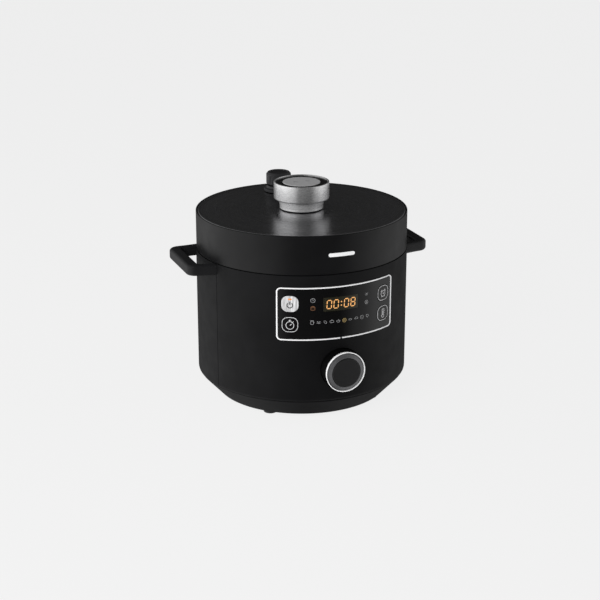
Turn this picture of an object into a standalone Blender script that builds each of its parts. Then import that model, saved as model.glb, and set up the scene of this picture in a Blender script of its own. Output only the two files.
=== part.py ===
"""Electric pressure cooker with a hinged lid, built as separate pieces.

Metres, +Z up. The origin is on the cooker's axis, at the surface it stands on.
The front is -Y and +X is on the right when the front is seen. A heading is an
angle from the front about +Z, positive towards +X.
"""
import math

import bpy
import bmesh
from mathutils import Matrix, Vector

# ---------------------------------------------------------------- clearances
GAP = 0.0003                 # between pieces that rest on or touch each other
KEY_CLEARANCE = 0.0004       # round each key in the panel
TURNING_CLEARANCE = 0.0006   # round a piece that turns in a round hole
SEAM_GAP = 0.0009            # between the lid and the body

# ------------------------------------------------------------------ the body
BODY_RADIUS = 0.145
SHELL_WALL = 0.0022
SHELL_HEIGHT = 0.1748
SHELL_FOOT_ROUNDING = 0.0045
SHELL_SPLIT_HEADING = math.radians(72.0)
SHELL_SPLIT_GAP = 0.0006
BASE_TAPER = 0.028           # floor's edge inside the body's surface
BASE_HEIGHT = 0.0283
BASE_STEP = 0.003            # how far the base's top edge lies inside the shell
BASE_WALL = 0.0025
FOOT_HEIGHT = 0.005
FOOT_RADIUS = 0.0095
FOOT_MARGIN = 0.013          # foot's centre inside the floor's edge
FOOT_COUNT = 4
SCREW_HEAD_RADIUS = 0.004
SCREW_HEAD_HEIGHT = 0.0018
SCREW_MARGIN = 0.019

# --------------------------------------------------------- pots and the heat
JACKET_WIDTH = 0.0265        # between the body's surface and the outer pot
FRAME_WALL = 0.002
FRAME_FLOOR_Z = 0.028
FRAME_TOP_DROP = 0.0049      # outer pot's rim below the shell's top
POT_SIDE_GAP = 0.0035
POT_WALL = 0.0015
POT_RIM_WIDTH = 0.0055
POT_FLOOR_ROUNDING = 0.012
HEATER_MARGIN = 0.0215       # between the heater and the outer pot's wall
HEATER_THICKNESS = 0.0117
SENSOR_RADIUS = 0.011
SENSOR_TRAVEL = 0.002
SENSOR_CAP_THICKNESS = 0.0035
SENSOR_STEM_RADIUS = 0.004
SPRING_RADIUS = 0.0065
SPRING_WIRE_RADIUS = 0.0006
SPRING_TURNS = 3

# ------------------------------------------------------------- bayonet lock
TOOTH_COUNT = 6
TOOTH_ANGLE = math.radians(25.0)
FLANGE_REACH = 0.007         # outer pot's teeth past its wall
FLANGE_THICKNESS = 0.003
LOCK_SIDE_GAP = 0.002        # between locking ring teeth and the pot's wall
LOCK_TOOTH_DROP = 0.0008     # between the two rows of teeth when locked
LOCK_TOOTH_THICKNESS = 0.0034
LOCK_WALL = 0.003
LOCK_HEIGHT = 0.026
SPOKE_COUNT = 3
SPOKE_WIDTH = 0.014
SPOKE_THICKNESS = 0.003
SPOKE_HEADING = math.radians(0.0)
SHAFT_RADIUS = 0.006

# --------------------------------------------------------------- top collar
COLLAR_TRENCH_WALL = 0.002
COLLAR_TRENCH_DEPTH = 0.0244
COLLAR_PLATE_THICKNESS = 0.0024

# ------------------------------------------------------------------- the lid
LID_INSET = 0.0005
LID_HEIGHT = 0.052
LID_WALL = 0.0025
LID_EDGE_ROUNDING = 0.0022
LID_RIM_WIDTH = 0.0017
LID_PLATE_THICKNESS = 0.0018
LID_PLATE_DISH = 0.0006
LINER_DROP = 0.014           # liner's top below the lid's top
LINER_THICKNESS = 0.002
POST_RADIUS = 0.004
POST_CIRCLE = 0.060
POST_HEADINGS = (math.radians(75.0), math.radians(220.0), math.radians(315.0))
SEAL_WIDTH = 0.005
SEAL_HEIGHT = 0.004
PRESSURE_LID_THICKNESS = 0.002
PRESSURE_LID_OVERHANG = 0.0025
PRESSURE_LID_SKIRT = 0.0036
MARK_WIDTH = 0.036
MARK_HEIGHT = 0.005
MARK_DROP = 0.026            # mark's centre below the lid's top

# ------------------------------------------------------------------ lid knob
KNOB_RADIUS = 0.0379
KNOB_WALL = 0.0024
KNOB_HEIGHT = 0.0237
KNOB_LIFT = 0.0136           # ring's foot above the lid's top
KNOB_CAP_INSET = 0.0012
KNOB_CAP_THICKNESS = 0.003
KNOB_DISC_RADIUS = 0.0257
KNOB_DISC_THICKNESS = 0.0024
NECK_RADIUS = 0.031
NECK_TAPER = 0.0033
NECK_GAP = 0.0007            # between the neck and the lid
NECK_SLOPE_START = 0.0025     # neck narrows from here, below the ring's foot
KNOB_SHAFT_HOLE_GAP = 0.0015

# ------------------------------------------------ steam valve and float valve
VALVE_EDGE_DISTANCE = 0.0430 # valve's centre inside the lid's edge, at the back
VALVE_SIDE = 0.004           # valve's centre to the right of the middle
VALVE_CAP_RADIUS = 0.0176
VALVE_CAP_HEIGHT = 0.0165
VALVE_TOP_LIFT = 0.0272      # cap's top above the lid's top
VALVE_BASE_RADIUS = 0.0210
VALVE_BASE_HEIGHT = 0.0078
VALVE_NECK_RADIUS = 0.0105
VENT_RADIUS = 0.005
VENT_WALL = 0.0012
VENT_FILTER_RADIUS = 0.0085
VENT_FILTER_HEIGHT = 0.011
FLOAT_RADIUS = 0.003
FLOAT_HEADING = math.radians(163.0)
FLOAT_TRAVEL = 0.005
FLOAT_GUIDE_RADIUS = 0.006
FLOAT_GUIDE_HEIGHT = 0.012

# ------------------------------------------------------------- side handles
HANDLE_LENGTH = 0.030        # past the body's surface
HANDLE_THICKNESS = 0.0152
HANDLE_DROP = 0.0006         # handle's top below the shell's top
HANDLE_FRONT_ROOT = math.radians(18.5)
HANDLE_BACK_ROOT = math.radians(25.0)
HANDLE_ARM_ANGLE = math.radians(4.6)
HANDLE_BAR_WIDTH = 0.0165
HANDLE_FRONT_END = 0.0375     # bar's front corner, towards the panel
HANDLE_BACK_END = 0.0580      # bar's back corner, towards the hinge
HANDLE_CORNER = 0.013
HANDLE_GAP_CORNER = 0.005
HANDLE_EDGE = 0.0028

# ------------------------------------------------------------- control panel
PANEL_WIDTH = 0.1712         # along the body's curve, to the frame's middle
PANEL_HEIGHT = 0.0706
PANEL_TOP_DROP = 0.0166
PANEL_CORNER = 0.0045
PANEL_THICKNESS = 0.0026
FRAME_LINE_WIDTH = 0.002
FRAME_LINE_PROUD = 0.0006
FRAME_LINE_NOTCH = 0.0014     # break in the middle of the lower line
KEY_WIDTH = 0.0226
KEY_HEIGHT = 0.0216
KEY_CORNER = 0.0085
KEY_SPREAD = 0.0684          # key's centre from the panel's, along the curve
KEY_RISE = 0.0141            # key's centre above or below the panel's
KEY_TRAVEL = 0.0006
KEY_THICKNESS = 0.0034
KEY_PROUD = 0.0002
WINDOW_WIDTH = 0.0490
WINDOW_HEIGHT = 0.0191
WINDOW_RISE = 0.0123
WINDOW_CORNER = 0.0012
MODULE_DEPTH = 0.014
BOARD_THICKNESS = 0.0016
BOARD_MARGIN = 0.003
BOARD_POT_GAP = 0.001        # between the board's back and the outer pot
BOARD_CORNER_CLEARANCE = 0.0045
SWITCH_SIZE = 0.006
SWITCH_HEIGHT = 0.004

# ---------------------------------------------------------------------- dial
DIAL_RADIUS = 0.0275
DIAL_DROP = 0.0424           # dial's centre below the panel's lower frame line
DIAL_REACH = 0.020           # front of the centre button past the body
DIAL_RIM_WIDTH = 0.0019
DIAL_RIM_SETBACK = 0.0029
DIAL_RIM_DEPTH = 0.004
DIAL_SKIRT_DEPTH = 0.006     # dial's skirt inside the body's surface
DIAL_BUTTON_RADIUS = 0.0194
DIAL_BUTTON_THICKNESS = 0.0052
DIAL_BUTTON_TRAVEL = 0.0012
DIAL_WALL = 0.002
DIAL_HUB_RADIUS = 0.006
DIAL_SHAFT_RADIUS = 0.003
ENCODER_RADIUS = 0.009
ENCODER_FLANGE_MARGIN = 0.004
ENCODER_DEPTH = 0.009
ENCODER_PLATE = 0.002

# ------------------------------------------------------------ hinge and back
HINGE_OFFSET = 0.0085        # hinge line behind the body's surface
HINGE_DROP = 0.0074          # hinge line below the shell's top
HINGE_KNUCKLE_RADIUS = 0.006
HINGE_PIN_RADIUS = 0.002
HINGE_HALF_WIDTH = 0.038
HINGE_ARM_HALF_WIDTH = 0.0175
HINGE_SIDE_GAP = 0.0005
HINGE_PLATE_HEIGHT = 0.017
HINGE_ARM_HEIGHT = 0.026
CUP_WIDTH = 0.058
CUP_HEIGHT = 0.050
CUP_WALL = 0.0016
CUP_DROP = 0.038             # cup's top below the shell's top
RAIL_THICKNESS = 0.002
INLET_WIDTH = 0.030
INLET_HEIGHT = 0.024
INLET_Z = 0.062
INLET_PROUD = 0.0025
INLET_DEPTH = 0.019
INLET_WALL = 0.003
PIN_WIDTH = 0.002
PIN_HEIGHT = 0.004
PIN_PITCH = 0.007
POWER_BOARD_LENGTH = 0.110
POWER_BOARD_WIDTH = 0.070
POWER_BOARD_LIFT = 0.004

# ------------------------------------------------------------ round outlines
STEPS = 40                   # nine degrees each
MEDIUM_STEPS = 28
SMALL_STEPS = 20

# ---------------------------------------------------- heights and places that follow
BASE_BOTTOM_Z = FOOT_HEIGHT
BASE_TOP_Z = BASE_BOTTOM_Z + BASE_HEIGHT
SHELL_BOTTOM_Z = BASE_TOP_Z + GAP
SHELL_TOP_Z = SHELL_BOTTOM_Z + SHELL_HEIGHT
SHELL_INNER = BODY_RADIUS - SHELL_WALL
BASE_FLOOR_RADIUS = BODY_RADIUS - BASE_TAPER
FOOT_CIRCLE = BASE_FLOOR_RADIUS - FOOT_MARGIN
SCREW_CIRCLE = BASE_FLOOR_RADIUS - SCREW_MARGIN
FRAME_RADIUS = BODY_RADIUS - JACKET_WIDTH
HEATER_RADIUS = FRAME_RADIUS - FRAME_WALL - HEATER_MARGIN
HANDLE_REACH = BODY_RADIUS + HANDLE_LENGTH
LID_RADIUS = BODY_RADIUS - LID_INSET
LID_BOTTOM_Z = SHELL_TOP_Z + SEAM_GAP
VALVE_OFFSET = LID_RADIUS - VALVE_EDGE_DISTANCE
LID_TOP_Z = LID_BOTTOM_Z + LID_HEIGHT
FRAME_TOP_Z = SHELL_TOP_Z - FRAME_TOP_DROP
FLANGE_RADIUS = FRAME_RADIUS + FLANGE_REACH
FLANGE_BOTTOM_Z = FRAME_TOP_Z - FLANGE_THICKNESS
HEATER_BOTTOM_Z = FRAME_FLOOR_Z + FRAME_WALL + GAP
HEATER_TOP_Z = HEATER_BOTTOM_Z + HEATER_THICKNESS
POT_BOTTOM_Z = HEATER_TOP_Z + GAP
POT_RADIUS = FRAME_RADIUS - FRAME_WALL - POT_SIDE_GAP
POT_RIM_BOTTOM_Z = FRAME_TOP_Z + GAP
POT_RIM_TOP_Z = POT_RIM_BOTTOM_Z + POT_WALL
POT_RIM_RADIUS = POT_RADIUS + POT_RIM_WIDTH
SEAL_BOTTOM_Z = POT_RIM_TOP_Z + GAP
SEAL_TOP_Z = SEAL_BOTTOM_Z + SEAL_HEIGHT
PRESSURE_LID_BOTTOM_Z = SEAL_TOP_Z + GAP
PRESSURE_LID_TOP_Z = PRESSURE_LID_BOTTOM_Z + PRESSURE_LID_THICKNESS
PRESSURE_LID_RADIUS = POT_RIM_RADIUS + PRESSURE_LID_OVERHANG
LOCK_TOOTH_TOP_Z = FLANGE_BOTTOM_Z - LOCK_TOOTH_DROP
LOCK_BOTTOM_Z = LOCK_TOOTH_TOP_Z - LOCK_TOOTH_THICKNESS
LOCK_TOP_Z = LOCK_BOTTOM_Z + LOCK_HEIGHT
LOCK_TOOTH_INNER = FRAME_RADIUS + LOCK_SIDE_GAP
LOCK_INNER = FLANGE_RADIUS + 0.0015
LOCK_OUTER = LOCK_INNER + LOCK_WALL
COLLAR_INNER = LOCK_OUTER + 0.003
COLLAR_SHELF_Z = SHELL_TOP_Z - COLLAR_TRENCH_DEPTH
COLLAR_BOTTOM_Z = COLLAR_SHELF_Z - COLLAR_TRENCH_WALL
LINER_TOP_Z = LID_TOP_Z - LINER_DROP
LINER_BOTTOM_Z = LINER_TOP_Z - LINER_THICKNESS
LID_INNER = LID_RADIUS - LID_WALL
LID_PLATE_RADIUS = LID_RADIUS - LID_RIM_WIDTH - GAP
LID_PLATE_BOTTOM_Z = LID_TOP_Z - LID_PLATE_THICKNESS - LID_PLATE_DISH
KNOB_BOTTOM_Z = LID_TOP_Z + KNOB_LIFT
KNOB_TOP_Z = KNOB_BOTTOM_Z + KNOB_HEIGHT
NECK_HOLE_RADIUS = SHAFT_RADIUS + KNOB_SHAFT_HOLE_GAP
VALVE_TOP_Z = LID_TOP_Z + VALVE_TOP_LIFT
VALVE_PLACE = Vector((VALVE_SIDE, VALVE_OFFSET, 0.0))
PANEL_TOP_Z = SHELL_TOP_Z - PANEL_TOP_DROP
PANEL_BOTTOM_Z = PANEL_TOP_Z - PANEL_HEIGHT
PANEL_MIDDLE_Z = (PANEL_TOP_Z + PANEL_BOTTOM_Z) / 2
PANEL_HEADING = PANEL_WIDTH / 2 / BODY_RADIUS
PANEL_HALF_CHORD = BODY_RADIUS * math.sin(PANEL_HEADING)
PANEL_INNER = BODY_RADIUS - PANEL_THICKNESS
KEY_HEADING = KEY_SPREAD / BODY_RADIUS
WINDOW_Z = PANEL_MIDDLE_Z + WINDOW_RISE
DIAL_Z = PANEL_BOTTOM_Z - DIAL_DROP
DIAL_FRONT = BODY_RADIUS + DIAL_REACH
DIAL_RIM_FRONT = DIAL_FRONT - DIAL_RIM_SETBACK
DIAL_RIM_BACK = DIAL_RIM_FRONT - DIAL_RIM_DEPTH
DIAL_BODY_FRONT = DIAL_RIM_BACK - GAP
DIAL_SKIRT_BACK = BODY_RADIUS - DIAL_SKIRT_DEPTH
DIAL_HOLE_RADIUS = DIAL_RADIUS + TURNING_CLEARANCE
ENCODER_FRONT = DIAL_SKIRT_BACK - 0.003
REAR_REACH = DIAL_FRONT
HINGE_Y = BODY_RADIUS + HINGE_OFFSET
HINGE_Z = SHELL_TOP_Z - HINGE_DROP
CUP_BACK = REAR_REACH
CUP_FRONT = BODY_RADIUS + RAIL_THICKNESS + GAP
CUP_TOP_Z = SHELL_TOP_Z - CUP_DROP
CUP_BOTTOM_Z = CUP_TOP_Z - CUP_HEIGHT
HANDLE_TOP_Z = SHELL_TOP_Z - HANDLE_DROP
HANDLE_BOTTOM_Z = HANDLE_TOP_Z - HANDLE_THICKNESS
HANDLE_INNER = BODY_RADIUS + GAP

# Small details.
BASE_EDGE = 0.0015                 # chamfer at the base's edges
SLOT_LENGTH = 0.030                # cooling slot in the floor
SLOT_WIDTH = 0.004
SLOT_PITCH = 0.010                 # from one slot to the next
SLOT_START = 0.030                 # first slot from the middle
CUT_PAST = 0.002                   # how far a cutter reaches past what it cuts
DIAL_HOLE_DEPTH = 0.030            # length of the cutter for the dial's hole
INLET_CUT_REACH = 0.020            # cutter to either side of the wall
FOOT_EDGE = 0.0012                 # chamfer at a foot's edge
RIM_DEPTH = 0.010                  # depth of the ring at the shell's mouth
FLANGE_CLEARANCE = 0.003           # gap between two teeth starts this far outside the flange
HEATER_EDGE = 0.002                # chamfer at the heating plate's rim
SENSOR_EDGE = 0.001                # chamfer at the sensor's top
RELAY_HEIGHT = 0.010
RELAY_PITCH = 0.034                # from one relay to the next
RELAY_HALF_WIDTH = 0.009
RELAY_HALF_LENGTH = 0.012
STAND_X = 0.045                    # board's stands from the middle
STAND_Y = 0.028
STAND_HALF_SIDE = 0.003
MODULE_INSET = 0.0005              # board's parts inside its edge
SWITCH_PROUD = 0.0008              # switch in front of the board
PIN_RISE = 0.0035                  # middle pin above the outer two
PIN_LIFT = 0.001                   # pins above the inlet's middle
PIN_INSET = 0.004                  # pins' ends inside the mouth
PANEL_SPARE_HEADING = math.radians(6.0) # panel's blank past its cut edge
PANEL_SPARE = 0.006
NOTCH_REACH = 0.01                 # cutter of the line's notch to either side of the wall
PLATE_SPARE_HEADING = 0.05         # blank of a curved plate past its cut edge, in radians
PLATE_SPARE = 0.004
KEY_CUT_REACH = 0.015              # cutter of a key to either side of the wall
DIAL_PLATE = 0.0025                # thickness of the dial's front plate
DIAL_HUB_DEPTH = 0.009
DIAL_EDGE = 0.0006                 # chamfer at the dial's edges
LID_LEDGE = 0.006                  # ledge that carries the lid's plate
PLATE_DISH_MARGIN = 0.008          # sunken middle inside the plate's edge
PLATE_EDGE_WIDTH = 0.0015
PLATE_EDGE_DROP = 0.0006
DRILL_PAST = 0.005                 # how far a drill reaches past the lid's sheets
SEAL_EDGE = 0.0008                 # chamfer at the seal's foot
MARK_THICKNESS = 0.0010
MARK_CUT_REACH = 0.02              # cutter of the mark to either side of the lid's wall
KNOB_EDGE = 0.0010                 # chamfer at the knob ring's edges
DISC_PROUD = 0.0003                # disc above the knob's cap
LOCK_HUB_WALL = 0.008              # hub's edge outside the shaft
LOCK_SPOKE_START = 0.004           # spokes start outside the shaft
VALVE_ROOF = 0.006                 # solid top of the valve's cap
VENT_STUB = 0.002                  # pipe's end below the pressure lid
VENT_FILTER_WALL = 0.0012
VENT_FILTER_LIP = 0.0012           # filter's hole outside the pipe
VENT_FILTER_EDGE = 0.002
VENT_FILTER_HOLE = 0.0025          # radius of the hole in the filter's foot
VALVE_NECK_RISE = 0.004            # neck of the valve's base inside the cap
VALVE_BASE_EDGE = 0.0012
VALVE_CAP_CHAMFER = 0.0028
GUIDE_EDGE = 0.001                 # chamfer at the float guide's top
FLOAT_FOOT_SHARE = 1.8             # float's foot radius as a share of its stem's
FLOAT_FOOT_THICKNESS = 0.002
FLOAT_STOP_GAP = 0.0003
HINGE_PLATE_DEPTH = 0.008          # hinge's plate inside the body's surface
HINGE_LUG_DEPTH = 0.007
CUP_ROUNDING = 0.003
RAIL_DEPTH = 0.008                 # cup's rail inside the body's surface
SHARP_ANGLE = math.radians(35.0)   # edges sharper than this are shaded as edges


# ------------------------------------------------------------ scene and finishes
def clear_scene():
    """Remove every object, mesh, curve and material that the file holds."""
    for obj in list(bpy.data.objects):
        bpy.data.objects.remove(obj, do_unlink=True)


def new_collection(name):
    """Make a collection under the scene's own."""
    collection = bpy.data.collections.new(name)
    bpy.context.scene.collection.children.link(collection)
    return collection


def finish(name, colour, roughness, metallic=0.0):
    """Make a Principled material of one plain colour."""
    material = bpy.data.materials.new(name)
    material.use_nodes = True
    shader = material.node_tree.nodes["Principled BSDF"]
    shader.inputs["Base Color"].default_value = (*colour, 1.0)
    shader.inputs["Roughness"].default_value = roughness
    shader.inputs["Metallic"].default_value = metallic
    return material


FINISHES = {
    "black_plastic": ((0.018, 0.018, 0.019), 0.42, 0.0),
    "gloss_black": ((0.010, 0.010, 0.011), 0.12, 0.0),
    "brushed_black": ((0.035, 0.035, 0.037), 0.34, 0.6),
    "silver": ((0.60, 0.60, 0.61), 0.28, 1.0),
    "chrome": ((0.80, 0.80, 0.81), 0.10, 1.0),
    "grey_plastic": ((0.16, 0.16, 0.165), 0.40, 0.2),
    "steel": ((0.55, 0.55, 0.55), 0.30, 1.0),
    "aluminium": ((0.70, 0.70, 0.71), 0.40, 1.0),
    "pot_coating": ((0.05, 0.05, 0.052), 0.45, 0.0),
    "rubber": ((0.015, 0.015, 0.015), 0.80, 0.0),
    "silicone": ((0.62, 0.62, 0.60), 0.55, 0.0),
    "board_green": ((0.02, 0.12, 0.05), 0.50, 0.0),
    "display_glass": ((0.020, 0.018, 0.016), 0.08, 0.0),
    "clear_plastic": ((0.55, 0.57, 0.58), 0.15, 0.0),
}


# ------------------------------------------------------------------ basic makers
def add_piece(name, mesh, finish_name):
    """Put a finished mesh into the object's collection under its node name."""
    obj = bpy.data.objects.new(name, mesh)
    PARTS.objects.link(obj)
    mesh.materials.append(MATERIALS[finish_name])
    return obj


def add_cutter(name, mesh):
    """Put a mesh among the cutters, where it is never part of the result."""
    obj = bpy.data.objects.new(name, mesh)
    CUTTERS.objects.link(obj)
    obj.hide_render = True
    obj.display_type = 'WIRE'
    return obj


def profile_mesh(name, points, closed):
    """Turn (radius, height) points into a wire in the XZ plane."""
    mesh = bpy.data.meshes.new(name)
    verts = [(radius, 0.0, height) for radius, height in points]
    edges = [(i, i + 1) for i in range(len(points) - 1)]
    if closed:
        edges.append((len(points) - 1, 0))
    mesh.from_pydata(verts, edges, [])
    return mesh


def add_screw(obj, steps, sweep=2 * math.pi):
    """Turn the object's profile about its own Z axis."""
    screw = obj.modifiers.new("turn", 'SCREW')
    screw.axis = 'Z'
    screw.angle = sweep
    screw.steps = steps
    screw.render_steps = steps
    screw.use_merge_vertices = True
    screw.merge_threshold = 0.00001
    screw.use_smooth_shade = True


def turned(name, points, finish_name, steps=STEPS, ring=False):
    """A turned piece: a ring from a closed profile, or a solid from pole to pole."""
    obj = add_piece(name, profile_mesh(name, points, ring), finish_name)
    add_screw(obj, steps)
    return obj


def turned_cutter(name, points, steps=STEPS, ring=False):
    """A turned shape that cuts other pieces."""
    obj = add_cutter(name, profile_mesh(name, points, ring))
    add_screw(obj, steps)
    return obj


def turned_arc(obj, first_heading, last_heading, thickness, steps):
    """Sweep an outer profile between two headings and give it a wall inwards."""
    add_screw(obj, steps, last_heading - first_heading)
    obj.rotation_euler.z = first_heading - math.pi / 2
    wall = obj.modifiers.new("wall", 'SOLIDIFY')
    wall.thickness = thickness
    wall.offset = -1.0
    wall.use_even_offset = True
    return obj


def face_front(obj, height):
    """Lay a turned piece on its side, so that its +Z points to the front."""
    obj.rotation_euler.x = math.pi / 2
    obj.location.z = height


def cylinder_mesh(name, radius, depth, steps=SMALL_STEPS):
    """A capped cylinder centred on the origin, along Z."""
    mesh = bpy.data.meshes.new(name)
    shape = bmesh.new()
    bmesh.ops.create_cone(shape, cap_ends=True, segments=steps, radius1=radius, radius2=radius, depth=depth)
    shape.to_mesh(mesh)
    shape.free()
    return mesh


def block_mesh(name, low, high):
    """A box between two corners."""
    mesh = bpy.data.meshes.new(name)
    size = Vector(high) - Vector(low)
    centre = (Vector(high) + Vector(low)) / 2
    shape = bmesh.new()
    bmesh.ops.create_cube(shape, size=1.0, matrix=Matrix.Translation(centre) @ Matrix.Diagonal((*size, 1.0)))
    shape.to_mesh(mesh)
    shape.free()
    return mesh


def bevel(obj, width, segments=2, angle=math.radians(40.0)):
    """Round the edges that are sharper than the angle."""
    rounding = obj.modifiers.new("rounding", 'BEVEL')
    rounding.width = width
    rounding.segments = segments
    rounding.limit_method = 'ANGLE'
    rounding.angle_limit = angle
    rounding.use_clamp_overlap = False
    return rounding


def combine(obj, tool, operation):
    """Add an exact Boolean of one object with another."""
    boolean = obj.modifiers.new(operation.lower() + "_" + tool.name, 'BOOLEAN')
    boolean.object = tool
    boolean.operation = operation
    boolean.solver = 'EXACT'
    return boolean


def cut(obj, *tools):
    """Take each tool out of the object."""
    for tool in tools:
        combine(obj, tool, 'DIFFERENCE')


def join(obj, *tools):
    """Melt each tool into the object."""
    for tool in tools:
        combine(obj, tool, 'UNION')


def rounded_prism(name, half_width, low_z, high_z, corner, near, far, heading=0.0):
    """A cutter with a rounded rectangular section that runs outwards along a heading."""
    middle_z = (low_z + high_z) / 2
    half_height = (high_z - low_z) / 2
    obj = add_cutter(name, outline_mesh(name, rounded_rectangle(half_width, half_height, corner), far - near))
    middle = (near + far) / 2
    obj.location = (middle * math.sin(heading), -middle * math.cos(heading), middle_z)
    obj.rotation_euler = (math.pi / 2, 0.0, heading)
    return obj


# ------------------------------------------------------------------- flat outlines
def arc_points(centre, radius, first, last, count):
    """Points along an arc, both ends included."""
    points = []
    for i in range(count + 1):
        angle = first + (last - first) * i / count
        points.append((centre[0] + radius * math.cos(angle), centre[1] + radius * math.sin(angle)))
    return points


def rounded_rectangle(half_width, half_height, corner, count=4):
    """A rectangle about the origin with four round corners."""
    points = []
    for quarter, (side_x, side_y) in enumerate(((1, 1), (-1, 1), (-1, -1), (1, -1))):
        centre = (side_x * (half_width - corner), side_y * (half_height - corner))
        first = quarter * math.pi / 2
        points += arc_points(centre, corner, first, first + math.pi / 2, count)
    return points


def rounded_corner(before, corner, after, radius, count=4):
    """Replace a corner between two straight lines with an arc that touches both."""
    corner = Vector(corner)
    towards_before = (Vector(before) - corner).normalized()
    towards_after = (Vector(after) - corner).normalized()
    half = towards_before.angle(towards_after) / 2
    centre = corner + (towards_before + towards_after).normalized() * radius / math.sin(half)
    start = corner + towards_before * radius / math.tan(half) - centre
    end = corner + towards_after * radius / math.tan(half) - centre
    turn = math.atan2(start.x * end.y - start.y * end.x, start.dot(end))
    first = math.atan2(start.y, start.x)
    return arc_points(centre, radius, first, first + turn, count)


def outline_mesh(name, points, thickness):
    """A flat outline, given a thickness centred on its plane, as one closed mesh."""
    curve = bpy.data.curves.new(name, 'CURVE')
    curve.dimensions = '2D'
    curve.fill_mode = 'BOTH'
    curve.extrude = thickness / 2
    spline = curve.splines.new('POLY')
    spline.points.add(len(points) - 1)
    for spot, (x, y) in zip(spline.points, points):
        spot.co = (x, y, 0.0, 1.0)
    spline.use_cyclic_u = True
    return curve_to_mesh(name, curve)


def curve_to_mesh(name, curve):
    """Make a curve a mesh, with its caps welded to its walls."""
    holder = bpy.data.objects.new(name + "_curve", curve)
    CUTTERS.objects.link(holder)
    graph = bpy.context.evaluated_depsgraph_get()
    graph.update()
    mesh = bpy.data.meshes.new_from_object(holder.evaluated_get(graph))
    mesh.name = name
    shape = bmesh.new()
    shape.from_mesh(mesh)
    bmesh.ops.remove_doubles(shape, verts=shape.verts, dist=0.000001)
    bmesh.ops.recalc_face_normals(shape, faces=shape.faces)
    shape.to_mesh(mesh)
    shape.free()
    bpy.data.objects.remove(holder, do_unlink=True)
    mesh.materials.clear()
    return mesh


def joint_empty(name, place, pieces):
    """Put an empty on a joint's axis and let the moving pieces follow it."""
    empty = bpy.data.objects.new(name, None)
    PARTS.objects.link(empty)
    empty.location = place
    for piece in pieces:
        piece.parent = empty
        piece.matrix_parent_inverse = Matrix.Translation(-Vector(place))
    return empty


def on_body(heading, radius, height):
    """The point at a heading and a distance from the cooker's axis."""
    return Vector((radius * math.sin(heading), -radius * math.cos(heading), height))


# ------------------------------------------------------------- base, shells, feet
def make_base():
    """The bowl-shaped base, with vent slots through its floor."""
    top_radius = BODY_RADIUS - BASE_STEP
    points = [
        (0.0, BASE_BOTTOM_Z + BASE_WALL),
        (BASE_FLOOR_RADIUS - BASE_WALL, BASE_BOTTOM_Z + BASE_WALL),
        (top_radius - BASE_WALL, BASE_TOP_Z),
        (top_radius, BASE_TOP_Z),
        (top_radius, BASE_TOP_Z - BASE_EDGE),
        (BASE_FLOOR_RADIUS + BASE_EDGE, BASE_BOTTOM_Z + BASE_EDGE),
        (BASE_FLOOR_RADIUS - BASE_EDGE, BASE_BOTTOM_Z),
        (0.0, BASE_BOTTOM_Z),
    ]
    base = turned("base_shell", points, "black_plastic")
    for side in (-1, 1):
        for row in range(3):
            x = side * (SLOT_START + row * SLOT_PITCH)
            low = (x - SLOT_WIDTH / 2, -SLOT_LENGTH / 2, BASE_BOTTOM_Z - CUT_PAST)
            high = (x + SLOT_WIDTH / 2, SLOT_LENGTH / 2, BASE_BOTTOM_Z + BASE_WALL + CUT_PAST)
            slot = add_cutter("vent_slot_%d_%d" % (side, row), block_mesh("vent_slot", low, high))
            cut(base, slot)


def shell_profile():
    """The body wall's outer line, from its top down to its rounded foot."""
    foot_radius = BODY_RADIUS - BASE_STEP
    rounding_z = SHELL_BOTTOM_Z + SHELL_FOOT_ROUNDING
    return [
        (BODY_RADIUS, SHELL_TOP_Z),
        (BODY_RADIUS, rounding_z),
        (BODY_RADIUS - BASE_STEP * 0.3, rounding_z - SHELL_FOOT_ROUNDING * 0.62),
        (foot_radius, SHELL_BOTTOM_Z),
    ]


def make_shell(name, first_heading, last_heading, steps):
    """One part of the body's wall, between two upright seams."""
    half_gap = SHELL_SPLIT_GAP / 2 / BODY_RADIUS
    shell = add_piece(name, profile_mesh(name, shell_profile(), False), "black_plastic")
    turned_arc(shell, first_heading + half_gap, last_heading - half_gap, SHELL_WALL, steps)
    return shell


def make_shells():
    """The front wall with its openings, and the rear wall with the inlet's."""
    front_steps = 16
    rear_steps = 24
    front = make_shell("front_shell", -SHELL_SPLIT_HEADING, SHELL_SPLIT_HEADING, front_steps)
    rear = make_shell("rear_shell", SHELL_SPLIT_HEADING, 2 * math.pi - SHELL_SPLIT_HEADING, rear_steps)
    cut(front, panel_prism("panel_opening", FRAME_LINE_WIDTH / 2 + GAP))
    dial_hole = add_cutter("dial_hole", cylinder_mesh("dial_hole", DIAL_HOLE_RADIUS,
            DIAL_HOLE_DEPTH, MEDIUM_STEPS))
    dial_hole.rotation_euler.x = math.pi / 2
    dial_hole.location = (0.0, -BODY_RADIUS, DIAL_Z)
    cut(front, dial_hole)
    low = (-INLET_WIDTH / 2 - GAP, BODY_RADIUS - INLET_CUT_REACH, INLET_Z - INLET_HEIGHT / 2 - GAP)
    high = (INLET_WIDTH / 2 + GAP, BODY_RADIUS + INLET_CUT_REACH, INLET_Z + INLET_HEIGHT / 2 + GAP)
    cut(rear, add_cutter("inlet_opening", block_mesh("inlet_opening", low, high)))


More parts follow.
